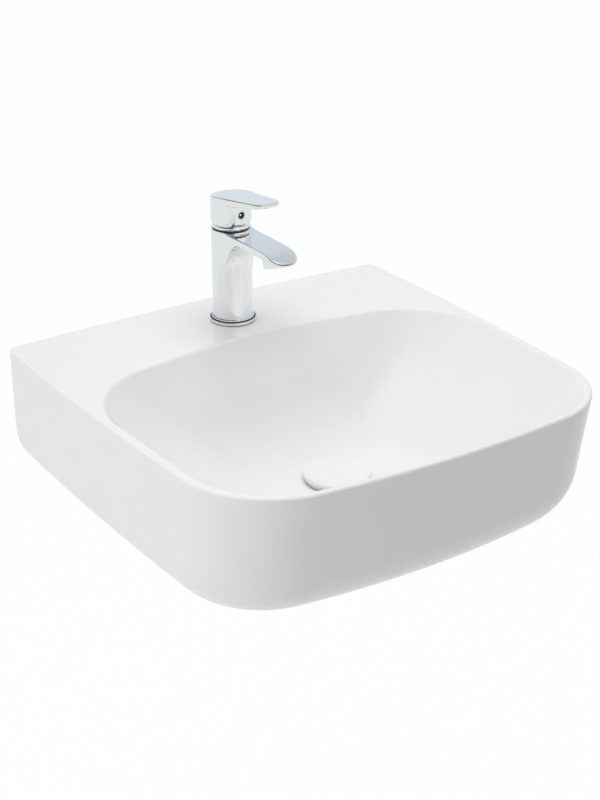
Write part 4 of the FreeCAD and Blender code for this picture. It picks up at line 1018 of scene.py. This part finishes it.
def handle_grid():
    """The handle as profiles in every direction round its axis: top, shoulder, side, lever underside, cup, inside."""
    angle = directions(300)
    reach = np.cos(angle)
    edge = polar(tapered_plan(HANDLE_R, LEVER_TIP_R, LEVER_TIP), angle)
    stand = edge - HANDLE_R
    full = eased(np.clip(stand / LEVER_EDGE_STAND, 0, 1))
    wide = part_way(HANDLE_EDGE_WIDE, LEVER_EDGE_WIDE, full)
    deep = part_way(HANDLE_EDGE_DEEP, LEVER_EDGE_DEEP, full)
    rows = []
    for step in np.linspace(0, 1, 30):
        radius = (edge - wide) * step
        rows.append(radius + 1j * lever_top(radius * reach))
    rows += rounded_over(edge, wide, deep, reach, lever_top)
    side_top = rows[-1].imag
    low = lever_under(edge * reach)
    curl = np.minimum(LEVER_CURL, LEVER_CURL_SHARE * stand)
    for step in shares(7):
        rows.append(edge + 1j * part_way(side_top, low + curl, step))
    inward = edge - LEVER_CURL_IN * curl
    rows += bend(rows[-1], edge + 1j * low, inward + 1j * lever_under(inward * reach), 6)
    root = HANDLE_R + np.minimum(LEVER_FAIR_OUT, LEVER_FAIR_SHARE * stand)
    for step in shares(18):
        radius = part_way(inward, root, step)
        rows.append(radius + 1j * lever_under(radius * reach))
    join = HANDLE_R + 1j * lever_under(HANDLE_R * reach)
    drop = LEVER_FAIR_DOWN * np.minimum(stand / LEVER_FAIR_STAND, 1)
    rows += bend(rows[-1], join, join - 1j * drop, 8)
    for step in shares(10):
        rows.append(HANDLE_R + 1j * part_way(join.imag - drop, HANDLE_WAIST, step))
    inside = rounded([(HANDLE_R, HANDLE_WAIST, 0), (HANDLE_FOOT_R, HANDLE_FOOT, 0.5), (CUP_R, HANDLE_FOOT, 0.3),
                      (CUP_R, CUP_TOP, 0.5), (BOSS_R, CUP_TOP, 0.8), (BOSS_R, BOSS_FOOT, 0.4), (0, BOSS_FOOT, 0)])
    rows += [point + 0 * angle for point in inside[1:]]
    return swung(rows, angle)


finished("handle", [(handle_grid(), False)], cuts=[
    ("DIFFERENCE", round_bar(PLUG_HOLE_R, (0, TAP_Y - PLUG_HOLE_BACK, DECK_Z + PLUG_Z),
                             (0, TAP_Y - PLUG_HOLE_FRONT, DECK_Z + PLUG_Z), 72)),
], sharp=34)


def plug_grid():
    """The cover plug: its profile, radius by how far in front of the tap's axis, carried round its own level axis."""
    inward = np.linspace(1, 0, 8)
    profile = np.concatenate([
        rounded([(0, PLUG_BACK, 0), (PLUG_R, PLUG_BACK, 0.2), (PLUG_R, PLUG_FRONT, 0.45),
                 (PLUG_RIM_R, PLUG_FRONT, 0.25)]),
        PLUG_SLOPE,
        PLUG_DISH_R * inward + 1j * (PLUG_DISH_FLOOR + PLUG_DISH_RISE * inward ** 2),
    ])
    turn = np.arange(96) * WHOLE_TURN / 96
    radius = profile.real[:, None]
    return np.stack([radius * np.cos(turn), TAP_Y - profile.imag[:, None] + 0 * turn,
                     DECK_Z + PLUG_Z + radius * np.sin(turn)], axis=-1)


finished("handle_plug", [(plug_grid(), False)], look=plate_with_painted_shade(
    "plug_plate_painted_shade", (1, 0, 1), (0, 0, DECK_Z + PLUG_Z), PLUG_SHADE_RING_OUTER, PLUG_SHADE_RING_INNER))

# The other nodes show their CAD shapes
for node, part in frame["nodes"].items():
    part.data.materials.clear()
    part.data.materials.append(LOOKS[SLOT_OF[node]])

# Studio, in metres: a wide pale floor at the depth at which it lies below such a basin, a white room and two soft lamps
FLOOR_Z = -0.79
FLOOR_HALF = 14.0
FLOOR_MATT = (0.76, 0.76, 0.76)
FLOOR_MIRRORED = (0.84, 0.875, 0.87)
FLOOR_GLOW = 0.98
WHITE = (1.0, 1.0, 1.0)


def pale_floor():
    """A wide floor that shows white to the eye and in mirrors, with a little of its own shade left in it."""
    look = new_look("pale_floor")
    by_camera = look.ray("Is Camera Ray")
    seen = by_camera.or_larger(look.ray("Is Glossy Ray")).or_larger(look.ray("Is Transmission Ray"))
    matt = look.node("ShaderNodeBsdfDiffuse", {}, {"Color": (*FLOOR_MATT, 1)})
    white = look.between(FLOOR_MIRRORED, WHITE, by_camera)
    glow = look.node("ShaderNodeEmission", {}, {"Color": white, "Strength": 1.0})
    mixed = look.node("ShaderNodeMixShader", {}, {0: FLOOR_GLOW * seen, 1: matt, 2: glow})
    look.node("ShaderNodeOutputMaterial", {}, {"Surface": mixed})
    return look.owner


sheet = bpy.data.meshes.new("floor")
sheet.from_pydata([(x * FLOOR_HALF, y * FLOOR_HALF, FLOOR_Z) for x, y in ((-1, -1), (1, -1), (1, 1), (-1, 1))],
                  [], [(0, 1, 2, 3)])
sheet.materials.append(pale_floor())
floor = bpy.data.objects.new("floor", sheet)
bpy.context.scene.collection.objects.link(floor)

# The camera that fits the photo's edges: its place, and its focal length and optical middle in pixels of the photo
PHOTO_WIDTH = 600
PHOTO_HEIGHT = 800
FOCAL_PX = 1642.6528
OPTICAL_X_PX = 309.7055
OPTICAL_Y_PX = 404.4065
SENSOR = 36
CAMERA_AZ = math.radians(-33.498)
CAMERA_EL = math.radians(25.0397)
CAMERA_FAR = 1.689657
AIM = Vector((0, -0.220, 0.020))
AWAY = Vector((math.sin(CAMERA_AZ) * math.cos(CAMERA_EL), -math.cos(CAMERA_AZ) * math.cos(CAMERA_EL),
               math.sin(CAMERA_EL)))

# What mirrors show of the room by the height of their view, behind the object and in front of it
REAR_STOPS = [
    (0.0, (0.95, 0.95, 0.95)), (0.05, (0.76, 0.82, 0.88)), (0.25, (0.68, 0.74, 0.81)), (0.56, (0.66, 0.71, 0.77)),
    (0.8, (0.56, 0.61, 0.68)), (0.92, (0.72, 0.75, 0.78)), (1.0, WHITE)]
AHEAD_STOPS = [
    (0.0, (0.94, 0.94, 0.93)), (0.08, (0.8, 0.84, 0.85)), (0.22, (0.62, 0.69, 0.71)), (0.36, (0.1, 0.12, 0.13)),
    (0.6, (0.02, 0.022, 0.025)), (0.86, (0.04, 0.045, 0.05)), (0.96, WHITE)]
DIM_PANEL = (0.25, 0.26, 0.28)
PALE_PANEL = (0.96, 0.97, 0.96)
DOME_LOW = 0.395
DOME_HIGH = 0.56


def studio_world():
    """A white room, soft and a little brighter overhead. Mirrors see it pale blue behind the object, with a dim panel
    high on the left, and dark in front, with a pale panel low on the right."""
    world = bpy.data.worlds.new("studio")
    bpy.context.scene.world = world
    look = Look(world)
    way = look.node("ShaderNodeTexCoord", {}, {}, "Generated")
    up = look.node("ShaderNodeSeparateXYZ", {}, {0: way}, 2)
    aside = look.along(way, (math.cos(CAMERA_AZ), math.sin(CAMERA_AZ), 0.0))
    at_rear = look.fade(look.along(way, (-AWAY.x, -AWAY.y, 0.0)), -0.35, 0.35)
    high_left = look.fade(aside, -0.08, -0.3) * look.fade(up, 0.25, 0.42)
    low_right = look.fade(aside, 0.15, 0.5) * look.fade(up, 0.62, 0.5)
    rear = look.node("ShaderNodeValToRGB", {"stops": REAR_STOPS}, {0: up})
    ahead = look.node("ShaderNodeValToRGB", {"stops": AHEAD_STOPS}, {0: up})
    mirrored = look.between(ahead, rear, at_rear)
    mirrored = look.between(mirrored, DIM_PANEL, high_left * at_rear)
    mirrored = look.between(mirrored, PALE_PANEL, low_right * (1.0 - at_rear))
    dome = look.node("ShaderNodeMapRange", {}, {"Value": up, "From Min": 0.0, "From Max": 1.0, "To Min": DOME_LOW,
                                               "To Max": DOME_HIGH})
    soft = look.between(dome, mirrored, look.ray("Is Glossy Ray"))
    shown = look.between(soft, WHITE, look.ray("Is Camera Ray"))
    light = look.node("ShaderNodeBackground", {}, {"Color": shown, "Strength": 1.0})
    look.node("ShaderNodeOutputWorld", {}, {"Surface": light})


studio_world()

LAMP_AIM = (0, -0.22, 0.0)


def soft_lamp(name, spot, size, watts):
    """A square soft lamp that lights the object but doesn't show in mirrors."""
    data = bpy.data.lights.new(name, "AREA")
    data.size = size
    data.energy = watts
    lamp = bpy.data.objects.new(name, data)
    lamp.location = spot
    lamp.rotation_euler = (Vector(LAMP_AIM) - Vector(spot)).to_track_quat("-Z", "Y").to_euler()
    lamp.visible_glossy = False
    bpy.context.scene.collection.objects.link(lamp)


soft_lamp("overhead", spot=(0.0, -0.15, 2.9), size=3.0, watts=58)
soft_lamp("left", spot=(-2.5, -0.3, 0.15), size=1.8, watts=19.5)

view = bpy.data.cameras.new("camera")
view.sensor_width = SENSOR
view.lens = FOCAL_PX / PHOTO_HEIGHT * SENSOR
view.shift_x = (PHOTO_WIDTH / 2 - OPTICAL_X_PX) / PHOTO_HEIGHT
view.shift_y = (OPTICAL_Y_PX - PHOTO_HEIGHT / 2) / PHOTO_HEIGHT
camera = bpy.data.objects.new("camera", view)
camera.location = AIM + AWAY * CAMERA_FAR
camera.rotation_euler = (-AWAY).to_track_quat("-Z", "Y").to_euler()
bpy.context.scene.collection.objects.link(camera)
bpy.context.scene.camera = camera
bpy.context.scene.view_settings.view_transform = "Standard"
